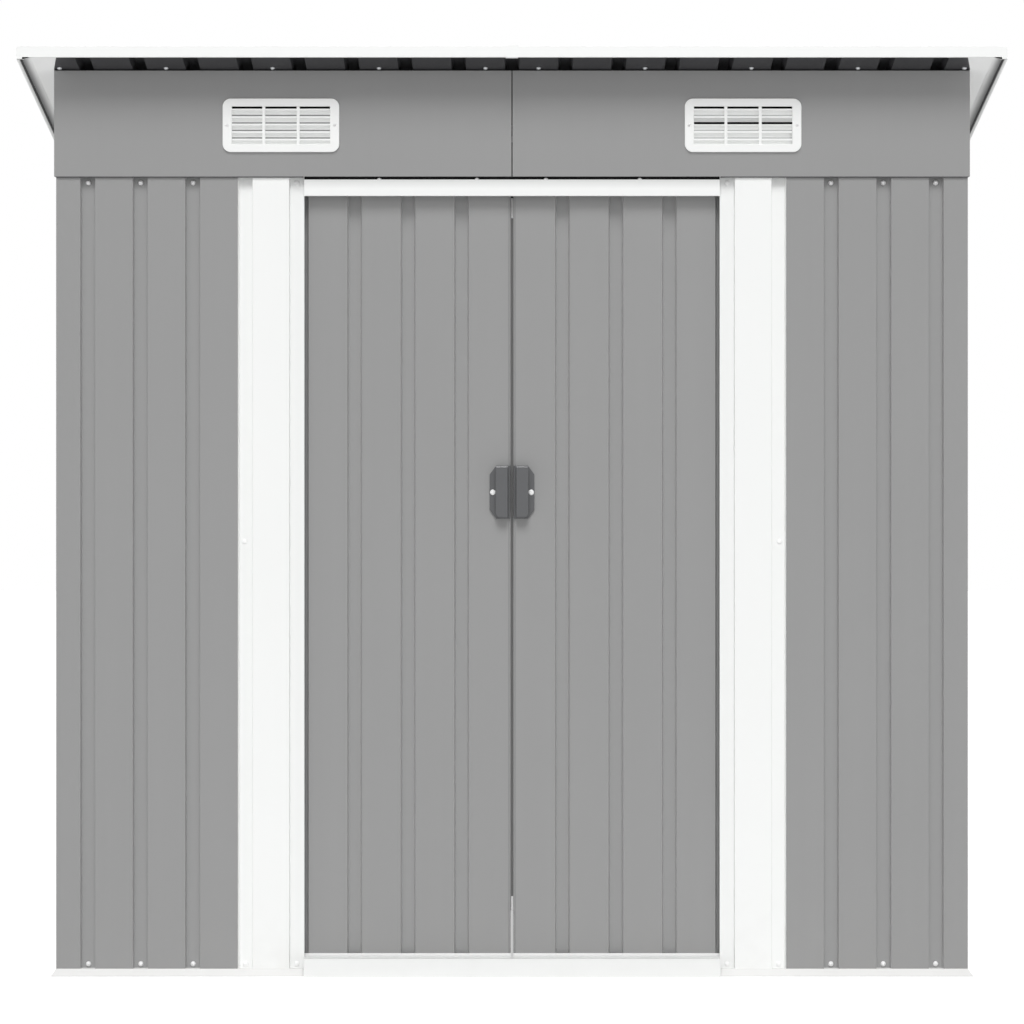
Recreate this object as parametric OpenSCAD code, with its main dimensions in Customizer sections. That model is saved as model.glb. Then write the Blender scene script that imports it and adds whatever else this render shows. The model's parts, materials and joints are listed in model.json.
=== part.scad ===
// Metal storage shed with a pent roof, ribbed steel sheets and a pair of sliding doors.
// Millimetres. X runs along the front, Y from front to back, Z up from the ground.
// The origin is on the ground, under the middle of the roof.

/* [Shed size] */
// Width over the wall sheets
wall_w = 1797; // [1720:1:2400]
// Depth over the wall sheets
wall_d = 1070; // [900:10:1600]
// Height of the wall sheets
wall_h = 1565.5; // [1400:0.5:1900]
// Height of the flat fascia above the doors
fascia_h = 207; // [160:0.5:260]
// Roof overhang past the side walls
side_overhang = 66.5; // [50:0.5:110]
// Roof overhang past the front wall
front_overhang = 80; // [65:1:140]
// Roof overhang past the back wall
rear_overhang = 60; // [45:1:120]

/* [Ribbed sheets] */
// Thickness of every wall, door and roof sheet
sheet_t = 0.8; // [0.5:0.1:1.2]
// Spacing of the grooves in the walls
groove_pitch = 103.4; // [80:0.1:130]
// Spacing of the two grooves of a jamb panel
jamb_pitch = 101.4; // [80:0.1:130]
// Width of a groove at the face of the sheet
groove_w = 29.5; // [22:0.5:36]
// Depth of a groove
groove_h = 12; // [8:0.5:14]
// Sideways run of a wall groove's flank
groove_run = 1.5; // [1:0.5:5]
// Spacing of the ribs in the roof
rib_pitch = 104.7; // [80:0.1:130]
// Width of a roof rib at its foot
rib_w = 29; // [22:0.5:40]
// Height of a roof rib
rib_h = 17.6; // [10:0.2:24]
// Sideways run of a roof rib's flank
rib_run = 5; // [2:0.5:8]

/* [Doors] */
// Clear width between the jamb panels
doorway_w = 820; // [700:1:900]
// Gap between the two closed doors
door_gap = 5; // [5:0.5:12]
// How far a closed door reaches behind its jamb panel
door_lap = 37.5; // [25:0.5:60]
// Distance from the wall face back to the door face
door_setback = 22; // [20:0.5:30]
// Distance from a door's meeting edge to its first groove
door_groove_start = 97.3; // [70:0.1:130]
// Spacing of the grooves in a door
door_groove_pitch = 105.75; // [80:0.05:130]
// Sideways run of a door groove's flank
door_groove_run = 3; // [1:0.5:5]
// Radius of the bend along a door's meeting edge
meeting_bend_r = 6; // [4:0.5:6]
// How far the left door's lap strip reaches behind the right door
strip_lap = 5.5; // [3:0.5:9]
// Height of the white bar at the foot of a door
foot_bar_h = 20; // [14:1:40]
// Height of the bar at the top of a door
head_bar_h = 10; // [8:1:14]
// Height of the stiffener behind the middle of a door
brace_h = 45; // [30:1:80]

/* [Handles] */
// Width of a handle's plate
handle_w = 40.8; // [30:0.1:50]
// Height of a handle's plate
handle_h = 105; // [80:0.1:140]
// Height of the handle's middle above the ground
handle_z = 953.5; // [800:0.5:1100]
// Width of the raised grip
grip_w = 25.4; // [18:0.1:28]
// How far the grip stands out from the door
grip_out = 20; // [14:0.5:21]

/* [Vents] */
// Width of a vent's bezel
vent_w = 229.5; // [180:0.5:300]
// Height of a vent's bezel
vent_h = 105.2; // [90:0.2:130]
// Distance of a vent from the middle of the shed
vent_offset = 455; // [300:1:600]
// Height of a vent's middle above the wall sheets
vent_rise = 96; // [80:1:120]
// Width of the bezel's face beside the louvres
bezel_side = 18; // [12:0.5:24]
// Width of the bezel's face above and below the louvres
bezel_top = 15.3; // [12:0.1:24]
// Corner radius of the bezel
bezel_r = 16; // [6:0.5:24]
// Louvre blades in a vent
blade_count = 5; // [3:1:7]

/* [Rails and trims] */
// Thickness of the folded base, top and middle rails
rail_t = 1.2; // [0.8:0.1:2]
// Height of the ledge that carries the wall sheets
ledge_h = 14; // [10:0.5:24]
// Height of the base rail's upright web
base_web_h = 34.5; // [26:0.5:50]
// How far the base rail's drip skirt slopes out
skirt_out = 10; // [6:0.5:16]
// Depth of the foot flange behind the web
foot_in = 24; // [14:0.5:40]
// Height of the top rails and the door track
top_rail_h = 25; // [24:0.5:40]
// Depth of the top and middle rails' flange
rail_flange = 25; // [15:0.5:40]
// Height of the middle rails
mid_rail_h = 50; // [30:1:80]
// Height of the middle rails' centre above the ground
mid_rail_z = 790; // [600:1:1000]
// How far the sill stands out in front of the wall
sill_out = 20; // [16:0.5:30]
// Height of the header strip over the doors
header_h = 32; // [24:0.5:44]
// Dark slot between the header and the fascia
header_gap = 5.5; // [3:0.5:8]
// How far the fascia stands out in front of the wall
fascia_out = 4; // [3:0.5:12]
// Height of the dark slot between the fascia and the roof sheets
fascia_slot = 3; // [3:0.5:6]
// How far the fascia and gables hang below the wall tops
drip_lip = 4.5; // [2:0.5:8]
// Depth of the roof trim's upper flange
trim_flange = 15; // [10:0.5:24]
// Depth of the lip under the front trim
trim_lip = 4; // [3:0.5:8]
// How far the side trims hang below the roof sheets
trim_drop = 4; // [3:0.5:12]
// Width of the hem under the side trims
trim_hem = 11; // [5:0.5:14]
// Width of the open slot inside that hem
trim_slot = 8; // [5:0.5:14]
// Height of the drip plate along the back of the roof
back_drip_h = 18; // [10:0.5:26]
// Width of the clip over the front trim's joint
clip_w = 24; // [16:0.5:40]
// Thickness of the clip
clip_t = 1.6; // [1:0.1:2.5]

/* [Hidden] */

grey = [0.61, 0.61, 0.61];
white = [0.96, 0.96, 0.96];
off_white = [0.91, 0.91, 0.91];
galvanised = [0.72, 0.73, 0.74];
charcoal = [0.39, 0.39, 0.40];
nylon = [0.16, 0.16, 0.17];
lacquer = [0.06, 0.06, 0.065];

// Overrun of every cut
cut = 2;
// Clearance where sheets and rails lie side by side
fit = 0.3;
// Clearance under the roof sheets
roof_fit = 0.2;

// Plan of the walls: faces of the wall sheets
roof_d = front_overhang + wall_d + rear_overhang;
roof_half = wall_w / 2 + side_overhang;
y_front = -roof_d / 2 + front_overhang;
y_back = y_front + wall_d;
side_face = wall_w / 2 - sheet_t;
// Depth behind a wall face where the rails begin, past a double lap of sheets
rail_face = groove_h + 2 * sheet_t;
side_rail_x = side_face - rail_face;
front_rail_y = y_front + rail_face;
back_rail_y = y_back - rail_face;
// Return of the front and back sheets round the corners
corner_return = 30;
// Least flat left between a corner and the nearest groove
corner_flat = 20;
// Part of a lapping groove's floor left free at the end of a sheet
lap_relief = 1;

// Heights
wall_top = ledge_h + wall_h;
fascia_top = wall_top + fascia_h;
y_fascia = y_front - fascia_out;
roof_slope = fascia_h / (y_back - y_fascia);
roof_a = atan(roof_slope);

// Height of the roof sheets' underside above a place in Y
function roof_z(y) = fascia_top - (y - y_fascia) * roof_slope - roof_fit;

// Grooves of the front wall: the jamb panel ends in the first and laps the second
jamb_groove = doorway_w / 2 + groove_w / 2;
lap_groove = jamb_groove + jamb_pitch;
corner_room = corner_flat + groove_w / 2;
front_grooves = floor((wall_w / 2 - corner_room - lap_groove) / groove_pitch);
// Width and thickness of the hem along the doorway's edge
hem_w = 5.5;
hem_t = 2.4;

// Grooves of the side and back walls
side_run = wall_d / 2 - sheet_t;
side_grooves = floor((side_run - corner_room - groove_pitch / 2) / groove_pitch);
back_grooves = floor((wall_w / 2 - corner_room) / groove_pitch);
back_lap = floor(back_grooves / 4);

// Door positions
door_x = door_gap / 2;
door_w = doorway_w / 2 + door_lap - door_x;
door_y = y_front + door_setback;
door_depth = groove_h + sheet_t;
door_mid_y = door_y + door_depth / 2;
door_edge_flat = 15;
door_grooves = floor((door_w - door_groove_start - groove_w / 2 - door_edge_flat) / door_groove_pitch);
// Sheet thickness of the door's bars and stiffener
bar_t = 1;
// Ends of the lap strip above the foot and below the top of the door
strip_foot = 110;
strip_head = 30;
// Clearance in depth between the lap strip and the other door's bend
strip_clear = 5.2;
// Distance from the meeting edge to the stiffener
brace_inset = 15;
// Running gap over and under the doors
run_gap = 4;
track_z = wall_top - top_rail_h;
door_top = track_z - run_gap;
guide_lip_h = 19.5;
door_foot = guide_lip_h + run_gap / 2;

// Track: a channel open below, with a slot between two lips
track_wall = 14.5;
track_slot = 10;
track_y0 = front_rail_y;
track_y1 = door_mid_y + door_depth / 2 + track_wall - rail_t;
hanger_neck = 8;
hanger_w = 40;
hanger_inset = 60;
hanger_head = 22;
hanger_head_h = 6;
guide_w = 30;
guide_depth = 14;
guide_slot = 3.2;
guide_drop = 14;

// Handle
handle_inset = 0.8;
handle_plate_t = 4;
handle_chamfer_x = 12.9;
handle_chamfer_z = 17.5;
grip_inset = 4.2;
grip_margin = 1.5;
grip_draft = 1;
grip_scoop_share = 0.375;
grip_corner_r = 12;
grip_bevel = 4;
grip_bevel_depth = grip_bevel / 2;

// Vent
bezel_t = 4;
vent_neck_t = 2;
vent_neck_depth = 14;
vent_cut_fit = 0.6;
mullion_w = 6;
mullion_depth = 6;
// Distance between the two mullions as a share of the louvres' width
mullion_share = 0.35;
mullion_set = 1;
blade_t = 1.6;
blade_lip = 3.6;
blade_step = 5;
blade_lean = 1;
blade_set = 1;
louvre_w = vent_w - 2 * bezel_side;
louvre_h = vent_h - 2 * bezel_top;
// Open slot over the first blade and under each blade
blade_top_slot = 4.5;
blade_slot = 2.6;
// Part of the last blade that shows over the bezel
last_blade_share = 0.74;
blade_pitch = (louvre_h - blade_top_slot) / (blade_count - 1 + last_blade_share);
blade_face = blade_pitch - blade_lip - blade_slot;

// Roof, in a frame tilted with the slope whose origin is at the top of the fascia
trim_in_h = rib_h + 2 * sheet_t + roof_fit;
trim_top = trim_in_h + sheet_t;
clip_y = (-roof_d / 2 - y_fascia + (sheet_t + clip_t) * sin(roof_a)) / cos(roof_a);
trim_y = clip_y + clip_t;
sheet_y0 = trim_y + sheet_t + fit;
sheet_y1 = (roof_d / 2 - y_fascia - trim_top * sin(roof_a)) / cos(roof_a);
side_trim_y = trim_y + trim_lip + fit;
// Lip that bends up from the soffit wing's outer edge
wing_lip_run = 6;
wing_lip_rise = 4;
channel_x = roof_half - trim_hem - trim_slot - wing_lip_run;
roof_edge = channel_x - fit;
rib_count = floor((roof_edge - rib_w / 2 - corner_flat) / rib_pitch);
rib_lap = floor(rib_count / 3 + 1 / 2);
// How far the fascia's ends stand past the wall faces
fascia_end_out = 3.5;
wing_x = wall_w / 2 + fascia_end_out + fit;
gable_x = wall_w / 2 + fascia_end_out - sheet_t;
// Reach of the wing's corner plate at the front edge of the roof
gusset_w = 14;
roof_seat = 12;
fascia_seam = 1;
seam_flange = 15;
shoulder_share = 0.65;
shoulder_depth = fascia_slot * shoulder_share / roof_slope;
gable_foot = 24;
beam_h = 25;
beam_w = 35;
beam_tab_h = 40;
beam_shares = [0.33, 0.67];
back_flange = 30;

// Sideways shift of a flank's inner side against its outer side
function flank_shift(run, h) = sheet_t * (sqrt(run * run + h * h) - run) / h;

// One groove of a sheet's section, [centre, part, extra depth], on the outer or inner side.
// Part 0 is a whole groove, 1 a sheet that begins on the floor of it, -1 one that ends there,
// and -2 one that ends at the far rim, inside the flank of the sheet below it.
function groove_points(g, w, run, h, inner) =
    let (shift = flank_shift(run, h),
         k = inner ? shift : 0,
         top = inner ? sheet_t : 0,
         rim = g[0] + w / 2 - shift - fit + k,
         floor_h = h + g[2] + top,
         a = g[0] - w / 2,
         b = g[0] + w / 2)
    g[1] == 0 ? [[a - k, top], [a + run - k, floor_h], [b - run + k, floor_h], [b + k, top]] :
    g[1] > 0 ? [[a + run + lap_relief, floor_h], [b - run + k, floor_h], [b + k, top]] :
    g[1] == -1 ? [[a - k, top], [a + run - k, floor_h], [b - run - lap_relief, floor_h]] :
    [[a - k, top], [a + run - k, floor_h], [rim - run, floor_h], [rim, top]];

// Points along one side of a ribbed sheet from x0 to x1
function sheet_side(x0, x1, grooves, w, run, h, inner) =
    let (top = inner ? sheet_t : 0,
         last = len(grooves) - 1)
    concat(grooves[0][1] > 0 ? [] : [[x0, top]],
           [for (g = grooves) each groove_points(g, w, run, h, inner)],
           grooves[last][1] < 0 ? [] : [[x1, top]]);

function reversed(list) = [for (i = [len(list) - 1 : -1 : 0]) list[i]];

// Section of a ribbed sheet, its face on the X axis and its grooves towards +Y
module ribbed_section(x0, x1, grooves, w = groove_w, run = groove_run, h = groove_h) {
    polygon(concat(sheet_side(x0, x1, grooves, w, run, h, false),
                   reversed(sheet_side(x0, x1, grooves, w, run, h, true))));
}

// Section turned to run along X, with its own X as depth in Y and its own Y as height
module along_x(x0, x1) {
    translate([x0, 0, 0]) rotate([90, 0, 90]) linear_extrude(x1 - x0) children();
}

// Section turned to run along Y, with its own X as X and its own Y as height
module along_y(y0, y1) {
    translate([0, y1, 0]) rotate([90, 0, 0]) linear_extrude(y1 - y0) children();
}

// Places a piece in the tilted frame of the roof
module on_roof() {
    translate([0, y_fascia, fascia_top]) rotate([-roof_a, 0, 0]) children();
}

module mirror_left() {
    mirror([1, 0, 0]) children();
}

// Rectangle with rounded corners, its middle on the origin
module round_rect(w, h, r) {
    square([w - 2 * r, h], center = true);
    square([w, h - 2 * r], center = true);
    for (x = [-1, 1], z = [-1, 1])
        translate([x * (w / 2 - r), z * (h / 2 - r)]) circle(r, $fn = 48);
}

// Section of a base rail: distance behind the wall face, then height
module base_rail_section(foot_end) {
    foot_x = -skirt_out - sheet_t;
    ledge_x = -rail_t;
    translate([foot_x, 0]) square([foot_end - foot_x, rail_t]);
    polygon([[foot_x, 0], [foot_x + rail_t, 0], [0, ledge_h - rail_t], [0, ledge_h], [ledge_x, ledge_h]]);
    translate([ledge_x, ledge_h - rail_t]) square([rail_face - ledge_x, rail_t]);
    translate([rail_face, 0]) square([rail_t, base_web_h]);
}

// Upright lip at the back of the front rail, which guides the doors
module guide_lip_section() {
    translate([door_mid_y - y_front - rail_t / 2, 0]) square([rail_t, guide_lip_h]);
}

// Wedge-ended block that mitres a base rail at both corners
module mitre_block(half, y, depth) {
    reach = skirt_out + cut;
    linear_extrude(base_web_h + cut)
        polygon([[-half - reach, y - reach], [half + reach, y - reach],
                 [half - depth, y + depth], [-half + depth, y + depth]]);
}

// Block between the mitres of the two side rails
module side_mitre_block(depth) {
    reach = skirt_out + cut;
    linear_extrude(base_web_h + cut)
        polygon([[side_face + reach, y_front - reach], [side_face - depth, y_front + depth],
                 [side_face - depth, y_back - depth], [side_face + reach, y_back + reach]]);
}

module base_rail_front() {
    lip_end = door_mid_y - y_front + rail_t / 2;
    color(off_white) intersection() {
        translate([0, y_front, 0]) along_x(-roof_half, roof_half) {
            base_rail_section(lip_end);
            guide_lip_section();
        }
        mitre_block(side_face, y_front, lip_end + cut);
    }
}

module base_rail_back() {
    depth = rail_face + rail_t + foot_in;
    color(off_white) intersection() {
        translate([0, y_back, 0]) mirror([0, 1, 0])
            along_x(-roof_half, roof_half) base_rail_section(depth);
        mirror([0, 1, 0]) mitre_block(side_face, -y_back, depth + cut);
    }
}

module base_rail_right() {
    depth = rail_face + rail_t + foot_in;
    color(off_white) intersection() {
        translate([side_face, 0, 0]) mirror([1, 0, 0]) along_y(-roof_d, roof_d) base_rail_section(depth);
        side_mitre_block(depth + cut);
    }
}

module base_rail_left() {
    mirror_left() base_rail_right();
}

// Angle over the front rail in the doorway
module door_sill() {
    half = doorway_w / 2 - fit;
    back = rail_face + rail_t;
    color(white) translate([0, y_front, 0]) along_x(-half, half) {
        translate([-sill_out, 0]) square([rail_t, base_web_h + rail_t]);
        translate([-sill_out, base_web_h]) square([sill_out + back, rail_t]);
    }
}

module wall_sheet(height = wall_h) {
    translate([0, 0, ledge_h]) linear_extrude(height) children();
}

// Grey sheet from the jamb panel to the corner, lying under the jamb panel
module front_wall_right() {
    grooves = concat([[lap_groove, 1, sheet_t]],
                     [for (i = [1 : front_grooves]) [lap_groove + i * groove_pitch, 0, 0]]);
    color(grey) translate([0, y_front, 0]) wall_sheet() {
        ribbed_section(0, wall_w / 2, grooves);
        translate([wall_w / 2 - sheet_t, 0]) square([sheet_t, corner_return]);
    }
}

module front_wall_left() {
    mirror_left() front_wall_right();
}

// White panel beside the doorway, hemmed along its edge
module door_jamb_right() {
    color(white) translate([0, y_front, 0]) wall_sheet() {
        ribbed_section(0, 0, [[jamb_groove, 1, 0], [lap_groove, -2, 0]]);
        translate([doorway_w / 2, groove_h + sheet_t - hem_t]) square([hem_w, hem_t]);
    }
}

module door_jamb_left() {
    mirror_left() door_jamb_right();
}

// Side wall, inside the corner returns of the front and back sheets
module right_wall() {
    grooves = [for (i = [-side_grooves - 1 : side_grooves]) [(i + 1 / 2) * groove_pitch, 0, 0]];
    color(grey) translate([side_face, (y_front + y_back) / 2, 0]) wall_sheet()
        rotate(90) ribbed_section(-side_run, side_run, grooves);
}

module left_wall() {
    mirror_left() right_wall();
}

module back_sheet() {
    color(grey) translate([0, y_back, 0]) mirror([0, 1, 0]) wall_sheet() children();
}

// Middle back sheet, lapping over its two neighbours
module back_wall_middle() {
    grooves = [for (i = [-back_lap : back_lap])
               [i * groove_pitch, i == -back_lap ? 1 : i == back_lap ? -1 : 0, 0]];
    back_sheet() ribbed_section(0, 0, grooves);
}

module back_wall_right() {
    grooves = [for (i = [back_lap : back_grooves])
               [i * groove_pitch, i == back_lap ? 1 : 0, i == back_lap ? sheet_t : 0]];
    back_sheet() {
        ribbed_section(0, wall_w / 2, grooves);
        translate([wall_w / 2 - sheet_t, 0]) square([sheet_t, corner_return]);
    }
}

module back_wall_left() {
    mirror_left() back_wall_right();
}

// Channel across the top of the doorway, against the track
module door_header() {
    half = doorway_w / 2 - fit;
    top = wall_top - drip_lip - header_gap;
    color(white) translate([0, y_front, top - header_h]) along_x(-half, half) {
        square([sheet_t, header_h]);
        square([rail_face - run_gap, sheet_t]);
        translate([0, header_h - sheet_t]) square([rail_face, sheet_t]);
    }
}

// Front top rail: the wall sheets are fixed to its face and the doors hang in its slot
module door_track() {
    depth = track_y1 - track_y0;
    slot_y0 = door_mid_y - track_slot / 2 - track_y0;
    color(lacquer) translate([0, track_y0, track_z]) along_x(-side_rail_x, side_rail_x) difference() {
        square([depth, top_rail_h]);
        translate([rail_t, rail_t]) square([depth - 2 * rail_t, top_rail_h - 2 * rail_t]);
        translate([slot_y0, -cut]) square([track_slot, rail_t + 2 * cut]);
    }
}

module top_rail_right() {
    end = back_rail_y - rail_flange - fit;
    color(galvanised) translate([side_rail_x, 0, track_z]) mirror([1, 0, 0]) along_y(track_y1, end) {
        square([rail_t, top_rail_h]);
        translate([0, top_rail_h - rail_t]) square([rail_flange, rail_t]);
    }
}

module top_rail_left() {
    mirror_left() top_rail_right();
}

// Back top rail, its flange sloping with the roof that lies on it
module top_rail_back() {
    half = gable_x - gable_foot - fit;
    y0 = back_rail_y - rail_flange;
    y1 = back_rail_y - rail_t;
    color(galvanised) along_x(-half, half)
        polygon([[back_rail_y, track_z], [back_rail_y, roof_z(back_rail_y)], [y0, roof_z(y0)],
                 [y0, roof_z(y0) - rail_t], [y1, roof_z(y1) - rail_t], [y1, track_z]]);
}

// Hat channel against the backs of the grooves
module mid_rail_section(depth) {
    lip = depth / 2;
    web = mid_rail_h - 2 * lip;
    translate([0, -mid_rail_h / 2]) square([rail_t, lip + rail_t]);
    translate([0, mid_rail_h / 2 - lip - rail_t]) square([rail_t, lip + rail_t]);
    translate([0, -web / 2 - rail_t]) square([depth, rail_t]);
    translate([0, web / 2]) square([depth, rail_t]);
    translate([depth - rail_t, -web / 2 - rail_t]) square([rail_t, web + 2 * rail_t]);
}

module mid_rail_right() {
    start = track_y1 + fit;
    end = back_rail_y - rail_flange - fit;
    color(galvanised) translate([side_rail_x, 0, mid_rail_z]) mirror([1, 0, 0])
        along_y(start, end) mid_rail_section(rail_flange);
}

module mid_rail_left() {
    mirror_left() mid_rail_right();
}

module mid_rail_back() {
    color(galvanised) translate([0, back_rail_y, mid_rail_z]) mirror([0, 1, 0])
        along_x(-side_rail_x, side_rail_x) mid_rail_section(rail_flange);
}

// Triangle of flat sheet that stands on a side wall, with a foot flange inside
module gable_right() {
    y0 = y_fascia + sheet_t + fit;
    foot_y1 = back_rail_y - rail_flange;
    color(grey) {
        along_x(gable_x - sheet_t, gable_x)
            polygon([[y0, wall_top - drip_lip], [y_back, wall_top - drip_lip],
                     [y_back, roof_z(y_back)], [y0, roof_z(y0)]]);
        along_x(gable_x - gable_foot, gable_x - sheet_t / 2)
            translate([track_y1 + fit, wall_top]) square([foot_y1 - track_y1 - fit, sheet_t]);
    }
}

module gable_left() {
    mirror_left() gable_right();
}

// Opening of a vent through the fascia
module vent_place() {
    translate([vent_offset, y_fascia, wall_top + vent_rise]) rotate([90, 0, 0]) children();
}

// Half of the fascia: a plate folded in at the bottom, the seam and the corner, and at the top
// into a shoulder and a flange that the roof sheets lie on
module fascia_right() {
    half = wall_w / 2 + fascia_end_out;
    inner = gable_x - sheet_t - fit;
    y1 = y_fascia + sheet_t;
    web_y = y_fascia + shoulder_depth;
    top_y = web_y + roof_seat;
    shoulder_z = fascia_top - fascia_slot;
    neck_w = louvre_w + 2 * (vent_neck_t + vent_cut_fit);
    neck_h = louvre_h + 2 * (vent_neck_t + vent_cut_fit);
    color(grey) difference() {
        union() {
            along_x(fascia_seam, half)
                polygon([[y_fascia, wall_top - drip_lip], [y1, wall_top - drip_lip],
                         [y1, shoulder_z], [y_fascia, shoulder_z]]);
            along_x(fascia_seam, inner) {
                translate([y_fascia, shoulder_z - sheet_t]) square([shoulder_depth, sheet_t]);
                polygon([[web_y - sheet_t, shoulder_z - sheet_t], [web_y, shoulder_z - sheet_t],
                         [web_y, roof_z(web_y)], [web_y - sheet_t, roof_z(web_y - sheet_t)]]);
                polygon([[web_y, roof_z(web_y)], [top_y, roof_z(top_y)],
                         [top_y, roof_z(top_y) - sheet_t], [web_y, roof_z(web_y) - sheet_t]]);
                translate([y_fascia, wall_top]) square([track_y1 - y_fascia, sheet_t]);
            }
            along_x(fascia_seam, fascia_seam + sheet_t)
                translate([y_fascia, wall_top]) square([seam_flange, shoulder_z - wall_top]);
            along_x(half - sheet_t, half)
                translate([y_fascia, wall_top - drip_lip])
                    square([shoulder_depth, shoulder_z - wall_top + drip_lip]);
        }
        vent_place() translate([0, 0, -sheet_t - cut])
            linear_extrude(sheet_t + 2 * cut) square([neck_w, neck_h], center = true);
    }
}

module fascia_left() {
    mirror_left() fascia_right();
}

// Louvre blade: a lip in front, and under it a face that stands back and leans in
module blade_section() {
    foot = -blade_lip - blade_face;
    polygon([[0, 0], [0, -blade_lip], [-blade_step, -blade_lip], [-blade_step - blade_lean, foot],
             [-blade_step - blade_lean - blade_t, foot], [-blade_step - blade_t, 0]]);
}

// Moulded vent: bezel, neck through the fascia, louvre blades and mullions
module vent_right() {
    color(off_white) vent_place() {
        difference() {
            union() {
                linear_extrude(bezel_t) round_rect(vent_w, vent_h, bezel_r);
                translate([0, 0, -vent_neck_depth]) linear_extrude(vent_neck_depth + bezel_t / 2)
                    square([louvre_w + 2 * vent_neck_t, louvre_h + 2 * vent_neck_t], center = true);
            }
            translate([0, 0, -vent_neck_depth - cut]) linear_extrude(vent_neck_depth + bezel_t + 2 * cut)
                square([louvre_w, louvre_h], center = true);
        }
        for (i = [0 : blade_count - 1])
            translate([louvre_w / 2 + vent_neck_t / 2, louvre_h / 2 - blade_top_slot - i * blade_pitch,
                       bezel_t - blade_set])
                rotate([0, -90, 0]) linear_extrude(louvre_w + vent_neck_t) blade_section();
        for (side = [-1, 1])
            translate([side * louvre_w * mullion_share / 2 - mullion_w / 2,
                       -louvre_h / 2 - vent_neck_t / 2, -mullion_depth])
                cube([mullion_w, louvre_h + vent_neck_t, mullion_depth + bezel_t - mullion_set]);
    }
}

module vent_left() {
    mirror_left() vent_right();
}

// Roof sheet in the tilted frame, pans on the frame's plane and ribs upward
module roof_sheet(x0, x1, ribs) {
    color(grey) on_roof() along_y(sheet_y0, sheet_y1) ribbed_section(x0, x1, ribs, rib_w, rib_run, rib_h);
}

// Middle roof sheet, its outer ribs lying over those of its neighbours
module roof_panel_middle() {
    ribs = [for (i = [-rib_lap : rib_lap])
            [i * rib_pitch, i == -rib_lap ? 1 : i == rib_lap ? -1 : 0, abs(i) == rib_lap ? sheet_t : 0]];
    roof_sheet(0, 0, ribs);
}

module roof_panel_right() {
    ribs = [for (i = [rib_lap : rib_count]) [i * rib_pitch, i == rib_lap ? 1 : 0, 0]];
    roof_sheet(0, roof_edge, ribs);
}

module roof_panel_left() {
    mirror_left() roof_panel_right();
}

// Channels across the shed under the roof sheets, with a tab at each gable
module roof_beams() {
    half = gable_x - sheet_t;
    span = (y_back - y_fascia) / cos(roof_a);
    color(galvanised) on_roof() for (s = beam_shares) translate([0, span * s, -roof_fit]) {
        along_x(-half, half) {
            translate([0, -rail_t]) square([beam_w, rail_t]);
            translate([0, -beam_h]) square([rail_t, beam_h]);
            translate([0, -beam_h]) square([beam_w, rail_t]);
        }
        for (side = [0, 1]) mirror([side, 0, 0])
            along_x(half - rail_t, half) translate([0, -beam_h]) square([beam_tab_h, beam_h]);
    }
}

// Section of the front trim: a channel that takes the edge of the roof sheets
module front_trim_section(t, grow) {
    low = -sheet_t - grow;
    high = trim_top + grow;
    translate([0, low]) square([t, high - low]);
    translate([0, low]) square([trim_lip + grow, t]);
    translate([0, high - t]) square([trim_flange + grow, t]);
}

module roof_trim_front_right() {
    plate_h = trim_top + sheet_t;
    color(white) on_roof() translate([0, trim_y, 0]) {
        along_x(fit, channel_x - fit) front_trim_section(sheet_t, 0);
        along_x(fit, roof_half) translate([0, -sheet_t]) square([sheet_t, plate_h]);
        along_x(roof_half - sheet_t, roof_half) translate([0, -sheet_t]) square([trim_lip, plate_h]);
        along_x(roof_half - trim_hem, roof_half)
            translate([0, -sheet_t - trim_drop]) square([sheet_t, trim_drop + sheet_t]);
    }
}

module roof_trim_front_left() {
    mirror_left() roof_trim_front_right();
}

// Clip over the joint of the two front trims
module roof_trim_joint() {
    color(white) on_roof() translate([0, clip_y, 0])
        along_x(-clip_w / 2, clip_w / 2) front_trim_section(clip_t, clip_t);
}

// Side trim folded from one strip: a hem under the outer plate, a channel open below, whose web
// takes the edge of the roof sheet, and a soffit wing under that sheet with a lip along the slot
// and a corner plate in front of the fascia
module roof_trim_right() {
    low = -sheet_t - trim_drop;
    lip_x = channel_x + wing_lip_run;
    color(white) on_roof() {
        along_y(side_trim_y, sheet_y1) {
            translate([roof_half - sheet_t, low]) square([sheet_t, trim_top - low]);
            translate([channel_x, trim_in_h]) square([roof_half - channel_x, sheet_t]);
            translate([channel_x, -sheet_t]) square([sheet_t, trim_top + sheet_t]);
            translate([wing_x, -sheet_t]) square([channel_x + sheet_t - wing_x, sheet_t]);
            polygon([[channel_x, -sheet_t], [lip_x, wing_lip_rise - sheet_t], [lip_x, wing_lip_rise],
                     [channel_x, 0]]);
            translate([roof_half - trim_hem, low]) square([trim_hem, sheet_t]);
        }
        translate([0, 0, -sheet_t]) linear_extrude(sheet_t)
            polygon([[wing_x - gusset_w, side_trim_y], [wing_x + sheet_t, side_trim_y],
                     [wing_x + sheet_t, 0], [wing_x, 0]]);
    }
}

module roof_trim_left() {
    mirror_left() roof_trim_right();
}

// Drip plate along the low edge of the roof
module roof_trim_back() {
    half = wing_x - fit;
    color(white) on_roof() translate([0, sheet_y1, 0]) along_x(-half, half) {
        translate([-back_flange, -sheet_t]) square([back_flange, sheet_t]);
        translate([-sheet_t, -back_drip_h]) square([sheet_t, back_drip_h]);
    }
}

// Places a piece on the right door: X from its meeting edge, Y from its face
module on_door() {
    translate([door_x, door_y, 0]) children();
}

// Quarter-round bend along a door's meeting edge
module meeting_bend() {
    translate([meeting_bend_r, meeting_bend_r]) intersection() {
        difference() {
            circle(meeting_bend_r, $fn = 48);
            circle(meeting_bend_r - sheet_t, $fn = 48);
        }
        translate([-meeting_bend_r, -meeting_bend_r]) square(meeting_bend_r);
    }
}

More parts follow.
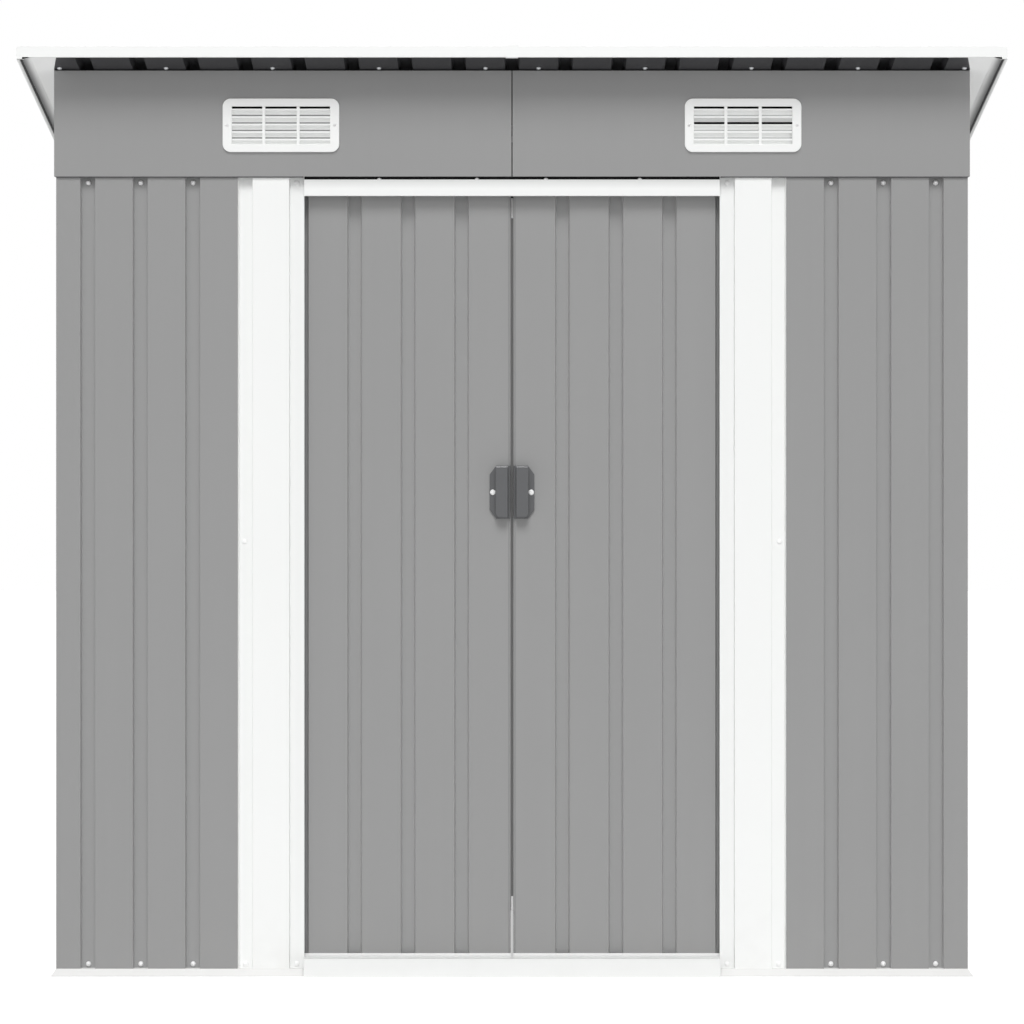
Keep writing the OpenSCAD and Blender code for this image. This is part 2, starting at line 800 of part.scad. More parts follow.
// Ribbed sheet of a door, bent back along both edges
module right_door_panel() {
    foot = door_foot + bar_t;
    grooves = [for (i = [0 : door_grooves]) [door_groove_start + i * door_groove_pitch, 0, 0]];
    color(grey) on_door() translate([0, 0, foot]) linear_extrude(door_top - bar_t - foot) {
        ribbed_section(meeting_bend_r, door_w, grooves, groove_w, door_groove_run);
        meeting_bend();
        translate([door_w - sheet_t, 0]) square([sheet_t, groove_h]);
    }
}

// The left door's bend runs on into a flange with the lap strip that closes the gap
module left_door_panel() {
    strip_h = door_top - door_foot - strip_foot - strip_head;
    strip_w = door_gap + strip_lap;
    mirror_left() right_door_panel();
    color(grey) mirror_left() on_door() translate([0, 0, door_foot + strip_foot]) linear_extrude(strip_h) {
        translate([0, meeting_bend_r]) square([sheet_t, strip_clear + sheet_t]);
        translate([-strip_w, meeting_bend_r + strip_clear]) square([strip_w + sheet_t, sheet_t]);
    }
}

// Channel that closes the end of a door sheet
module bar_section(h) {
    difference() {
        translate([-bar_t, 0]) square([door_depth + 2 * bar_t, h]);
        translate([0, bar_t]) square([door_depth, h]);
    }
}

// Foot bar, head bar and the stiffener behind the handle
module right_door_bars() {
    brace_lip = brace_h / 4;
    color(white) on_door() {
        translate([0, 0, door_foot]) along_x(0, door_w) bar_section(foot_bar_h);
        translate([0, 0, door_top]) mirror([0, 0, 1]) along_x(0, door_w) bar_section(head_bar_h);
        translate([0, door_depth, handle_z]) along_x(brace_inset, door_w - sheet_t) {
            translate([0, -brace_h / 2]) square([bar_t, brace_h]);
            translate([0, -brace_h / 2 + brace_lip]) square([brace_lip, bar_t]);
            translate([0, brace_h / 2 - brace_lip - bar_t]) square([brace_lip, bar_t]);
        }
    }
}

module left_door_bars() {
    mirror_left() right_door_bars();
}

// Grip seen from above: drafted sides and a finger scoop on the outer one
module grip_plan() {
    scoop_r = (grip_out - handle_plate_t) * grip_scoop_share;
    difference() {
        polygon([[0, -handle_plate_t / 2], [grip_draft, -grip_out], [grip_w - grip_draft, -grip_out],
                 [grip_w, -handle_plate_t / 2]]);
        translate([grip_w + grip_draft, -handle_plate_t - scoop_r]) circle(scoop_r, $fn = 40);
    }
}

// Grip seen from the front, its lower outer corner rounded
module grip_front() {
    low = -handle_h / 2 + grip_margin;
    flat_w = grip_w - grip_corner_r;
    translate([0, low + grip_corner_r]) square([grip_w, handle_h - 2 * grip_margin - grip_corner_r]);
    translate([0, low]) square([flat_w, grip_corner_r + cut]);
    translate([flat_w, low + grip_corner_r]) circle(grip_corner_r, $fn = 48);
}

// Grip seen from the side, bevelled at its ends
module grip_side() {
    half = handle_h / 2;
    back = -grip_out + grip_bevel_depth;
    polygon([[0, -half], [back, -half], [-grip_out, -half + grip_bevel],
             [-grip_out, half - grip_bevel], [back, half], [0, half]]);
}

// Pull handle: a chamfered plate and a raised grip
module right_door_handle() {
    x1 = handle_inset + handle_w;
    low = -handle_h / 2;
    high = handle_h / 2;
    grip_x = handle_inset + grip_inset;
    color(charcoal) on_door() translate([0, 0, handle_z]) {
        rotate([90, 0, 0]) linear_extrude(handle_plate_t)
            polygon([[handle_inset, low], [x1 - handle_chamfer_x, low], [x1, low + handle_chamfer_z],
                     [x1, high - handle_chamfer_z], [x1 - handle_chamfer_x, high], [handle_inset, high]]);
        intersection() {
            translate([grip_x, 0, low]) linear_extrude(handle_h) grip_plan();
            translate([grip_x, 0, 0]) rotate([90, 0, 0]) linear_extrude(grip_out + cut) grip_front();
            along_x(0, x1) grip_side();
        }
    }
}

module left_door_handle() {
    mirror_left() right_door_handle();
}

// Two hangers in the track and two guides over the lip of the front rail
module right_door_runners() {
    mid = door_depth / 2;
    head_z = track_z + rail_t + fit;
    color(nylon) on_door() for (x = [hanger_inset, door_w - hanger_inset]) {
        along_x(x - hanger_w / 2, x + hanger_w / 2) {
            translate([mid - hanger_neck / 2, door_top]) square([hanger_neck, head_z - door_top]);
            translate([mid - hanger_head / 2, head_z]) square([hanger_head, hanger_head_h]);
        }
        along_x(x - guide_w / 2, x + guide_w / 2) difference() {
            translate([mid - guide_depth / 2, door_foot - guide_drop]) square([guide_depth, guide_drop]);
            translate([mid - guide_slot / 2, door_foot - guide_drop - cut])
                square([guide_slot, guide_drop - run_gap / 4 + cut]);
        }
    }
}

module left_door_runners() {
    mirror_left() right_door_runners();
}

base_rail_front();
base_rail_back();
base_rail_left();
base_rail_right();
door_sill();
front_wall_left();
front_wall_right();
door_jamb_left();
door_jamb_right();
left_wall();
right_wall();
back_wall_left();
back_wall_middle();
back_wall_right();
door_header();
door_track();
top_rail_left();
top_rail_right();
top_rail_back();
mid_rail_left();
mid_rail_right();
mid_rail_back();
gable_left();
gable_right();
fascia_left();
fascia_right();
vent_left();
vent_right();
roof_panel_left();
roof_panel_middle();
roof_panel_right();
roof_beams();
roof_trim_front_left();
roof_trim_front_right();
roof_trim_joint();
roof_trim_left();
roof_trim_right();
roof_trim_back();
left_door_panel();
left_door_bars();
left_door_handle();
left_door_runners();
right_door_panel();
right_door_bars();
right_door_handle();
right_door_runners();
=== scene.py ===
"""Looks of a grey ribbed steel storage shed with white trim and sliding doors, in metres."""
import json
import math
from collections import namedtuple

import bmesh
import bpy
from mathutils import Matrix, Vector


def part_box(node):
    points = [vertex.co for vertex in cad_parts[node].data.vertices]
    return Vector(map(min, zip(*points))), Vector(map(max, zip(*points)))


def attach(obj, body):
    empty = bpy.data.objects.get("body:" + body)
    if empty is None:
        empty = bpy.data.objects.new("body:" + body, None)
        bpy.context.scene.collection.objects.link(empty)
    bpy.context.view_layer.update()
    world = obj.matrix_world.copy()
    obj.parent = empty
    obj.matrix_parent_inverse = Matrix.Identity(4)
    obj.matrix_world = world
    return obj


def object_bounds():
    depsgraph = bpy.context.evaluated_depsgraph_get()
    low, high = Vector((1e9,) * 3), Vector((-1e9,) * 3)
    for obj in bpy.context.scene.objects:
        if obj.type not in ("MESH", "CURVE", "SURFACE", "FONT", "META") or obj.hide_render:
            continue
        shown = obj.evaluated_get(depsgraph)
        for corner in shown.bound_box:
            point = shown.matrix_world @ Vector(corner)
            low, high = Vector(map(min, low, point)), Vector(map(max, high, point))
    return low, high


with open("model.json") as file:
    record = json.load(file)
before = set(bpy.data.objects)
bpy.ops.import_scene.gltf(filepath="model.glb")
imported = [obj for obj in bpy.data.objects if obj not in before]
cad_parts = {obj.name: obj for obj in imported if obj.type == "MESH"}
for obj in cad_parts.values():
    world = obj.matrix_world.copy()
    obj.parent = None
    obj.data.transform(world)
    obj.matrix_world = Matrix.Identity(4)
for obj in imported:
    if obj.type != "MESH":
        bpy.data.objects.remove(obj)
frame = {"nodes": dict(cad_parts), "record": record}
cad_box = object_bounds()
NODES = frame["nodes"]

# Camera: square to the front, level, at the height of the doors' middle
CAMERA_DISTANCE = 6.2
CAMERA_HEIGHT = 0.9141
CAMERA_REACH = 200.0
FOCAL_PX = 3186.0
FRAME_PX = 1024.0
SENSOR_MM = 36.0

# Lamps: degrees round to the left of the front, degrees up, spread in degrees, and strength
Lamp = namedtuple("Lamp", "around up spread strength")
LAMPS = {"key": Lamp(0.0, 52.0, 28.0, 1.97),
         "front_fill": Lamp(0.0, 12.0, 50.0, 0.34),
         "left_fill": Lamp(50.0, 5.0, 50.0, 0.22),
         "right_fill": Lamp(-50.0, 5.0, 50.0, 0.22),
         "back_left": Lamp(120.0, 5.0, 30.0, 1.1),
         "back_right": Lamp(-120.0, 5.0, 30.0, 1.1),
         "back_fill": Lamp(180.0, 5.0, 40.0, 0.5)}

# Even white surround, and a pale floor that looks white
SURROUND_STRENGTH = 0.105
FLOOR_SIZE = 60.0
FLOOR_DROP = 0.0004
FLOOR_GLOW = 0.55
FLOOR_BOUNCE = 0.11
FLOOR_ROUGHNESS = 0.9
WHITE_LIGHT = (1.0, 1.0, 1.0, 1.0)

# Paints, mouldings and shades painted for light and shade, as sRGB shades from 0 to 255
GREY_PAINT = (154, 154, 154)
# Painted light: the sideways flanks of grooves and bends on the front sheets are painted lighter
FLANK_PAINTED_LIGHT = (182, 182, 182)
# Painted light: the groove floors of the grey front sheets and doors are painted lighter
GROOVE_PAINTED_LIGHT = (157, 157, 157)
# Painted shade: the rounded meeting edges of the doors are painted darker
BEND_PAINTED_SHADE = (144, 144, 144)
# Painted shade: the lap strip seen in the gap between the doors is painted darker
LAP_PAINTED_SHADE = (122, 122, 122)
# Dark back coat of the roof sheets, darkened further as painted shade under the roof
BACK_COAT_AND_SHADE = (62, 62, 64)
WHITE_PAINT = (250, 251, 250)
# Painted shade: the groove floors of the white jambs are painted a little darker
JAMB_GROOVE_PAINTED_SHADE = (245, 246, 245)
# Painted shade: the front trim's white is a darker copy of the white paint, for the tilted-up trim that
# catches more light
TRIM_WHITE_PAINTED_SHADE = (247, 248, 247)
# Painted shade: the sill's white is a darker copy of the white paint, for the sill that stands out into full
# light
SILL_WHITE_PAINTED_SHADE = (242, 243, 242)
# Painted shade under the roof's side trims, around the black shadow strip
EAVES_PAINTED_SHADE = (105, 105, 106)
RAIL_WHITE = (232, 232, 231)
# Painted shadow: the door track is painted black so the slot over the header looks dark
TRACK_SHADOW_BLACK = (18, 18, 19)
HEADER_SHADE = (222, 223, 222)
# Painted light: the doors' bars get a lighter copy of the white paint, without dust, against the shade behind
# the sill
BAR_WHITE_PAINTED_LIGHT = (254, 254, 254)
VENT_WHITE = (250, 251, 250)
# Painted shade of the strips between the louvres, darker in the left vent, and black for the shadow in open
# slots
SLOT_PAINTED_SHADE = (190, 191, 191)
SLOT_DARK_PAINTED_SHADE = (134, 135, 135)
SLOT_SHADOW_BLACK = (8, 8, 9)
HANDLE_CHARCOAL = (86, 87, 89)
HANDLE_RUBBED = (120, 121, 123)
NYLON_BLACK = (40, 40, 42)
NYLON_RUBBED = (70, 70, 72)
# Painted shadow: black strips under the side trims' hems, grey strips under the fascia's lower edge
EAVES_SHADOW_BLACK = (24, 24, 25)
FASCIA_SHADOW_GREY = (84, 84, 86)
ZINC = (196, 198, 200)
CAP_WHITE = (250, 250, 250)
WASHER_GREY = (150, 150, 150)
DUST_TAN = (168, 160, 148)
FLOOR_GREY = (240, 240, 240)

# Coats of paint: how far the tone wanders, and the lowest and highest roughness
Coat = namedtuple("Coat", "tone smooth rough")
GREY_COAT = Coat(0.018, 0.42, 0.52)
WHITE_COAT = Coat(0.008, 0.36, 0.46)
BAR_COAT = Coat(0.004, 0.36, 0.46)
RAIL_COAT = Coat(0.01, 0.4, 0.5)
TRACK_COAT = Coat(0.05, 0.5, 0.6)
PEEL_SCALE = 900.0
PEEL_STRENGTH = 0.05
PEEL_DEPTH = 0.0004
PAINT_SHINE = 0.3

# Amount of ground dust on a painted sheet; the white sheets' higher amount also stands as painted shade that
# darkens their foot
GREY_DUST = 0.06
WHITE_DUST_AND_SHADE = 0.13
SILL_DUST = 0.05
NO_DUST = 0.0

# Moulded plastics: tone and roughness as above, strength and scale of the grain, and shine
Mould = namedtuple("Mould", "tone smooth rough grain grain_scale shine")
PLAIN_SHINE = 0.35
VENT_MOULD = Mould(0.008, 0.38, 0.46, 0.04, 1100.0, PLAIN_SHINE)
SLOT_MOULD = Mould(0.008, 0.5, 0.6, 0.04, 1100.0, PLAIN_SHINE)
SLOT_SHADOW_MOULD = Mould(0.01, 0.7, 0.8, 0.04, 1100.0, 0.0)
HANDLE_MOULD = Mould(0.04, 0.26, 0.34, 0.2, 1500.0, 0.5)
NYLON_MOULD = Mould(0.05, 0.4, 0.5, 0.05, 900.0, PLAIN_SHINE)
CAP_MOULD = Mould(0.004, 0.3, 0.38, 0.02, 1500.0, PLAIN_SHINE)
WASHER_MOULD = Mould(0.03, 0.5, 0.6, 0.05, 1500.0, PLAIN_SHINE)
SHADOW_STRIP_MOULD = Mould(0.05, 0.6, 0.7, 0.05, 1500.0, PLAIN_SHINE)
GRAIN_DEPTH = 0.0005
RUB_AMOUNT = 0.35

# Sheet profile
GROOVE_PITCH = 0.1034
JAMB_PITCH = 0.1014
GROOVE_DEPTH = 0.012
GROOVE_WIDTH = 0.0295
RIB_PITCH = 0.1047
SHEET_T = 0.0008

# Black shadow strip and cove under the roof's side trims, and the eaves' painted shade, measured in from the
# trims' outer edge
EAVES_SHADOW_OUTER = 0.0065
EAVES_SHADOW_INNER = 0.011
EAVES_SHADOW_DEPTH = 0.0012
EAVES_SHADOW_END_GAP = 0.0008
COVE_INNER = 0.026
COVE_RISE = 0.0036
EAVES_OUTER = 0.0015
EAVES_INNER = 0.028
EAVES_RIM_SHARE = 0.55
TRIM_HEM_DEPTH = 0.0048
ROOF_HALF = cad_box[1].x
FASCIA_SHADOW_DEPTH = 0.002

# Lap strip that closes the gap between the doors, and the white pieces at its ends that stand in for light
# seen through the gap, measured from the strip's ends
DOOR_EDGE = 0.0025
LAP_FADE = 0.0002
MEETING_BEND_R = 0.006
STRIP_SET_BACK = 0.0112
STRIP_FOOT = 0.110
STRIP_HEAD = 0.030
TIP_W = 0.0042
TIP_X = 0.0004
TIP_PROUD = 0.0002
FOOT_TIP_BELOW = 0.009
FOOT_TIP_ABOVE = 0.0204
HEAD_TIP_BELOW = 0.0233
HEAD_TIP_ABOVE = 0.0165

# Louvres of a vent, measured in from its bezel
BLADE_COUNT = 5
BEZEL_SIDE = 0.018
BEZEL_TOP = 0.0153
MULLION_AT = 0.03386
MULLION_W = 0.006
BLADE_PITCH = 0.01479
BLADE_SET_BACK = 0.007
BLADE_LIP_SET = 0.001
BLADE_FILL = 0.0034
TOP_SLOT = 0.0045
SLOT_SHADOW_BELOW = 0.0011
SLOT_SHADOW_ABOVE = 0.0032
RIGHT_OPEN_SLOT = 2

# Height over which the header darkens towards the fascia
HEADER_FADE = 0.018

# Rounding of the edges of mouldings and strips
HANDLE_ROUND = 0.0011
VENT_ROUND = 0.0005
ROUND_STEPS = 3
WELD_DISTANCE = 0.00001
FLAT_ANGLE = 1.0
SHARP_ANGLE = 35.0
STRIP_ROUND_SHARE = 0.35

# Domed screw heads
HEAD_R = 0.0052
HEAD_H = 0.0046
HEAD_DIMPLE = 0.0012
HEAD_STEPS = 6
DIMPLE_FLOOR_SHARE = 0.6
DIMPLE_LEVEL_SHARE = 0.8
LATHE_SIDES = 20

# Screws in the walls' grooves, and those of the jambs
SCREW_DROP = 0.0153
SCREW_RISE = 0.0079
SCREW_MID = 0.79
HIGH_HEAD_H = 0.0078
JAMB_HEAD_H = 0.0022
JAMB_SCREW_Z = 0.8557
JAMB_SCREW_ASIDE = 0.002
FRONT_GROOVES = (1, 2, 3)
SIDE_GROOVES = range(-5, 5)
BACK_GROOVES = range(-8, 9)

# Nuts under the roof's front overhang, and washered screws on top of its pans
ROOF_FIT = 0.0002
NUT_START = 0.0523
NUT_PITCH = 0.2094
NUT_COUNT = 5
NUT_AHEAD = 0.009
NUT_R = 0.005
NUT_H = 0.004
ROOF_SCREW_PANS = range(-8, 8, 2)
ROOF_SCREW_ROWS = (0.02, 0.38, 0.75, 1.06)
WASHER_R = 0.0085
WASHER_RIM_H = 0.0012
WASHER_TOP_R = 0.007
WASHER_H = 0.0022
WASHER_OVERLAP = 0.0001
ROOF_HEAD_R = 0.0055
ROOF_HEAD_H = 0.0028

# Screws over the header, on the handles, on the doors' foot bars and on the vents' bezels
HEADER_SCREW_XS = (-0.262, -0.069, 0.067, 0.252)
HEADER_SCREW_IN = 0.004
HEADER_HEAD_R = 0.0045
HEADER_HEAD_H = 0.004
HANDLE_PLATE_T = 0.004
HANDLE_SCREW_IN = 0.0062
HANDLE_SCREW_DROP = 0.0006
HANDLE_HEAD_R = 0.0057
HANDLE_HEAD_H = 0.0012
FOOT_SCREW_X = 0.405
FOOT_SCREW_Z = 0.0325
FOOT_HEAD_R = 0.003
FOOT_HEAD_H = 0.0014
VENT_SCREW_IN = 0.0085
VENT_HEAD_R = 0.0032
VENT_HEAD_H = 0.0009


def linear(shade):
    """Linear colour of an sRGB shade."""
    def channel(v):
        v = v / 255.0
        return v / 12.92 if v <= 0.04045 else ((v + 0.055) / 1.055) ** 2.4
    return tuple(channel(v) for v in shade) + (1.0,)


class Graph:
    """Short calls for placing and joining shader nodes in one tree."""

    def __init__(self, tree):
        self.tree = tree

    def add(self, kind, inputs=None, **settings):
        made = self.tree.nodes.new(kind)
        for name, value in settings.items():
            setattr(made, name, value)
        for name, value in (inputs or {}).items():
            self.feed(made.inputs[name], value)
        return made

    def feed(self, socket, value):
        if isinstance(value, bpy.types.NodeSocket):
            self.tree.links.new(value, socket)
        else:
            socket.default_value = value

    def math(self, operation, a, b=0.0, clamp=False):
        made = self.add("ShaderNodeMath", {0: a, 1: b}, operation=operation, use_clamp=clamp)
        return made.outputs[0]

    def spread(self, value, low, high, to_low, to_high, smooth=False):
        made = self.add("ShaderNodeMapRange", {"Value": value, "From Min": low, "From Max": high,
                                               "To Min": to_low, "To Max": to_high})
        if smooth:
            made.interpolation_type = "SMOOTHSTEP"
        return made.outputs["Result"]

    def mix(self, factor, a, b, blend="MIX"):
        made = self.add("ShaderNodeMix", data_type="RGBA", blend_type=blend)
        self.feed(made.inputs["Factor"], factor)
        self.feed(made.inputs[6], a)
        self.feed(made.inputs[7], b)
        return made.outputs[2]

    def noise(self, place, scale, detail):
        made = self.add("ShaderNodeTexNoise", {"Vector": place, "Scale": scale, "Detail": detail})
        return made.outputs["Fac"]

    def grey(self, value):
        return self.add("ShaderNodeCombineColor", {0: value, 1: value, 2: value}).outputs[0]

    def object_place(self):
        return self.add("ShaderNodeTexCoord").outputs["Object"]

    def object_axis(self, axis):
        return self.add("ShaderNodeSeparateXYZ", {0: self.object_place()}).outputs[axis]

    def face_axis(self, axis):
        face = self.add("ShaderNodeNewGeometry").outputs["Normal"]
        return self.add("ShaderNodeSeparateXYZ", {0: face}).outputs[axis]

    def group(self, tree, inputs):
        node = self.add("ShaderNodeGroup")
        node.node_tree = tree
        for name, value in inputs.items():
            self.feed(node.inputs[name], value)
        return node.outputs


COLOUR = "NodeSocketColor"
NUMBER = "NodeSocketFloat"
GREY_DEFAULT = (0.5, 0.5, 0.5, 1.0)
PALE_DEFAULT = (0.8, 0.8, 0.8, 1.0)


def new_group(name, inputs, outputs):
    """An empty shader group with named sockets, and its input and output nodes."""
    tree = bpy.data.node_groups.new(name, "ShaderNodeTree")
    for label, kind, value in inputs:
        socket = tree.interface.new_socket(label, in_out="INPUT", socket_type=kind)
        socket.default_value = value
    for label, kind in outputs:
        tree.interface.new_socket(label, in_out="OUTPUT", socket_type=kind)
    graph = Graph(tree)
    return graph, graph.add("NodeGroupInput").outputs, graph.add("NodeGroupOutput").inputs


# Effects that several finishes share

def paint_skin_group():
    """Baked paint: slow tone changes, faint roller streaks and a fine orange peel."""
    graph, given, out = new_group(
        "paint_skin",
        [("Color", COLOUR, GREY_DEFAULT), ("Tone", NUMBER, GREY_COAT.tone),
         ("Gloss Low", NUMBER, GREY_COAT.smooth), ("Gloss High", NUMBER, GREY_COAT.rough),
         ("Peel Scale", NUMBER, PEEL_SCALE)],
        [("Color", COLOUR), ("Roughness", NUMBER), ("Height", NUMBER)])
    cloud_scale = 2.6
    cloud_detail = 4.0
    streak_stretch = (38.0, 38.0, 0.7)
    streak_detail = 3.0
    peel_detail = 1.0
    cloud_share = 0.65
    noise_low, noise_high = 0.3, 0.7
    place = graph.object_place()
    cloud = graph.noise(place, cloud_scale, cloud_detail)
    stretch = graph.add("ShaderNodeMapping", {"Vector": place, "Scale": streak_stretch}).outputs[0]
    streak = graph.noise(stretch, 1.0, streak_detail)
    peel = graph.noise(place, given["Peel Scale"], peel_detail)
    both = graph.math("ADD", graph.math("MULTIPLY", cloud, cloud_share),
                      graph.math("MULTIPLY", streak, 1.0 - cloud_share))
    low = graph.math("SUBTRACT", 1.0, given["Tone"])
    high = graph.math("ADD", 1.0, given["Tone"])
    tone = graph.spread(both, noise_low, noise_high, low, high)
    graph.feed(out["Color"], graph.mix(1.0, given["Color"], graph.grey(tone), "MULTIPLY"))
    graph.feed(out["Roughness"],
               graph.spread(both, noise_low, noise_high, given["Gloss Low"], given["Gloss High"]))
    graph.feed(out["Height"], peel)
    return graph.tree


def dust_and_shade_group():
    """Dust that settles low on the walls, thinning out upward in patches; on the white sheets it also stands
    as painted shade at the foot.
    """
    reach = 0.25
    graph, given, out = new_group(
        "ground_dust_and_shade",
        [("Color", COLOUR, GREY_DEFAULT), ("Dust", COLOUR, linear(DUST_TAN)), ("Reach", NUMBER, reach),
         ("Amount", NUMBER, GREY_DUST)],
        [("Color", COLOUR), ("Mask", NUMBER)])
    patch_scale = 16.0
    patch_detail = 5.0
    patch_low, patch_high = 0.35, 0.7
    thinnest = 0.2
    height = graph.object_axis("Z")
    low = graph.math("SUBTRACT", 1.0, graph.math("DIVIDE", height, given["Reach"]), clamp=True)
    patch = graph.noise(graph.object_place(), patch_scale, patch_detail)
    mask = graph.math("MULTIPLY", graph.math("MULTIPLY", low, low),
                      graph.spread(patch, patch_low, patch_high, thinnest, 1.0))
    amount = graph.math("MULTIPLY", mask, given["Amount"])
    graph.feed(out["Color"], graph.mix(amount, given["Color"], given["Dust"]))
    graph.feed(out["Mask"], mask)
    return graph.tree


def edge_rub_group():
    """Edges rubbed lighter, found where a rounded normal leaves the true one."""
    graph, given, out = new_group(
        "edge_rub",
        [("Color", COLOUR, GREY_DEFAULT), ("Rubbed", COLOUR, PALE_DEFAULT), ("Amount", NUMBER, RUB_AMOUNT)],
        [("Color", COLOUR), ("Mask", NUMBER), ("Normal", "NodeSocketVector")])
    edge_radius = 0.0012
    edge_samples = 6
    flat_dot, turned_dot = 0.99, 0.85
    patch_scale = 90.0
    patch_detail = 4.0
    patch_low, patch_high = 0.4, 0.65
    thinnest = 0.1
    bevel = graph.add("ShaderNodeBevel", {"Radius": edge_radius}, samples=edge_samples).outputs["Normal"]
    face = graph.add("ShaderNodeNewGeometry").outputs["Normal"]
    along = graph.add("ShaderNodeVectorMath", {0: bevel, 1: face}, operation="DOT_PRODUCT").outputs["Value"]
    edge = graph.spread(along, flat_dot, turned_dot, 0.0, 1.0)
    patch = graph.noise(graph.object_place(), patch_scale, patch_detail)
    mask = graph.math("MULTIPLY", edge, graph.spread(patch, patch_low, patch_high, thinnest, 1.0), clamp=True)
    amount = graph.math("MULTIPLY", mask, given["Amount"])
    graph.feed(out["Color"], graph.mix(amount, given["Color"], given["Rubbed"]))
    graph.feed(out["Mask"], mask)
    graph.feed(out["Normal"], bevel)
    return graph.tree


PAINT_SKIN = paint_skin_group()
GROUND_DUST_AND_SHADE = dust_and_shade_group()
EDGE_RUB = edge_rub_group()


# Masks that find where painted light and shade go on a sheet

def mask_group(name):
    """An empty shader group without inputs that puts out one mask, and the socket to feed."""
    graph, given, out = new_group(name, [], [("Mask", NUMBER)])
    return graph, out["Mask"]


def under_side_group():
    """1 on faces that look down."""
    graph, mask = mask_group("under_side")
    level_z, down_z = -0.12, -0.2
    graph.feed(mask, graph.spread(graph.face_axis("Z"), level_z, down_z, 0.0, 1.0))
    return graph.tree


def flank_group():
    """1 on the flanks of grooves and bends, which look sideways, where painted light goes."""
    graph, mask = mask_group("groove_flank")
    ahead_x, aside_x = 0.6, 0.85
    aside = graph.math("ABSOLUTE", graph.face_axis("X"))
    graph.feed(mask, graph.spread(aside, ahead_x, aside_x, 0.0, 1.0))
    return graph.tree


def groove_floor_group():
    """1 on the floors of the grooves in a sheet whose ribs' faces lie at a given Y."""
    graph, given, out = new_group("groove_floor", [("Face Y", NUMBER, 0.0)], [("Mask", NUMBER)])
    flank_depth = GROOVE_DEPTH * 0.7
    floor_depth = GROOVE_DEPTH * 0.95
    depth = graph.math("SUBTRACT", graph.object_axis("Y"), given["Face Y"])
    graph.feed(out["Mask"], graph.spread(depth, flank_depth, floor_depth, 0.0, 1.0))
    return graph.tree


def meeting_bend_group():
    """1 where the rounded edges along which the doors meet begin, fading to 0 on their way in."""
    graph, mask = mask_group("meeting_bend")
    start = DOOR_EDGE + MEETING_BEND_R
    full = start - MEETING_BEND_R / 6
    fading = start - MEETING_BEND_R / 3
    gone = start - MEETING_BEND_R * 3 / 4
    aside = graph.math("ABSOLUTE", graph.object_axis("X"))
    begun = graph.spread(aside, start, full, 0.0, 1.0)
    fade = graph.spread(aside, gone, fading, 0.0, 1.0)
    graph.feed(mask, graph.math("MULTIPLY", begun, fade))
    return graph.tree


def lap_strip_group():
    """1 on the strip that reaches past the left door's meeting edge, where the shade in the gap is painted.
    """
    graph, mask = mask_group("lap_strip")
    graph.feed(mask, graph.spread(graph.object_axis("X"), -DOOR_EDGE - LAP_FADE, -DOOR_EDGE, 0.0, 1.0))
    return graph.tree


def header_top_group():
    """1 at the header's upper edge, under the fascia, fading to 0 below it."""
    graph, mask = mask_group("header_top")
    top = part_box("door_header")[1].z
    graph.feed(mask, graph.spread(graph.object_axis("Z"), top - HEADER_FADE, top, 0.0, 1.0))
    return graph.tree


def eaves_group():
    """1 at the black shadow strip under a side trim, fading to 0 at the rim and at the wing: the reach of the
    eaves' painted shade.
    """
    graph, mask = mask_group("eaves")
    inward = graph.math("SUBTRACT", ROOF_HALF, graph.math("ABSOLUTE", graph.object_axis("X")))
    to_wing = graph.spread(inward, EAVES_SHADOW_INNER, EAVES_INNER, 1.0, 0.0, smooth=True)
    to_rim = graph.spread(inward, EAVES_OUTER, EAVES_SHADOW_OUTER, 0.0, EAVES_RIM_SHARE)
    near = graph.spread(inward, EAVES_SHADOW_OUTER, EAVES_SHADOW_INNER, 0.0, 1.0)
    graph.feed(mask, graph.math("MULTIPLY", to_wing, graph.math("MAXIMUM", to_rim, near)))
    return graph.tree


UNDER_SIDE = under_side_group()
GROOVE_FLANK = flank_group()
GROOVE_FLOOR = groove_floor_group()
MEETING_BEND = meeting_bend_group()
LAP_STRIP = lap_strip_group()
HEADER_TOP = header_top_group()
EAVES = eaves_group()

# A place on a sheet: the groups whose masks multiply, their inputs, and the painted light or shade that shows
# there
Place = namedtuple("Place", "masks inputs shade")


def groove_place(node, shade):
    """The groove floors of a front sheet, where a lighter or darker shade is painted for light and shade."""
    return Place([GROOVE_FLOOR], {"Face Y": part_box(node)[0].y}, shade)


# Finishes

def new_material(name):
    """A material with a Principled shader, and the graph to build it in."""
    made = bpy.data.materials.new(name)
    made.use_nodes = True
    graph = Graph(made.node_tree)
    return made, graph, made.node_tree.nodes["Principled BSDF"].inputs


def paint_skin(graph, shade, finish, peel_scale):
    return graph.group(PAINT_SKIN, {"Color": linear(shade), "Tone": finish.tone, "Gloss Low": finish.smooth,
                                    "Gloss High": finish.rough, "Peel Scale": peel_scale})


def place_mask(graph, place):
    """Product of the masks of a place."""
    masks = [graph.group(tree, place.inputs)["Mask"] for tree in place.masks]
    product = masks[0]
    for mask in masks[1:]:
        product = graph.math("MULTIPLY", product, mask)
    return product


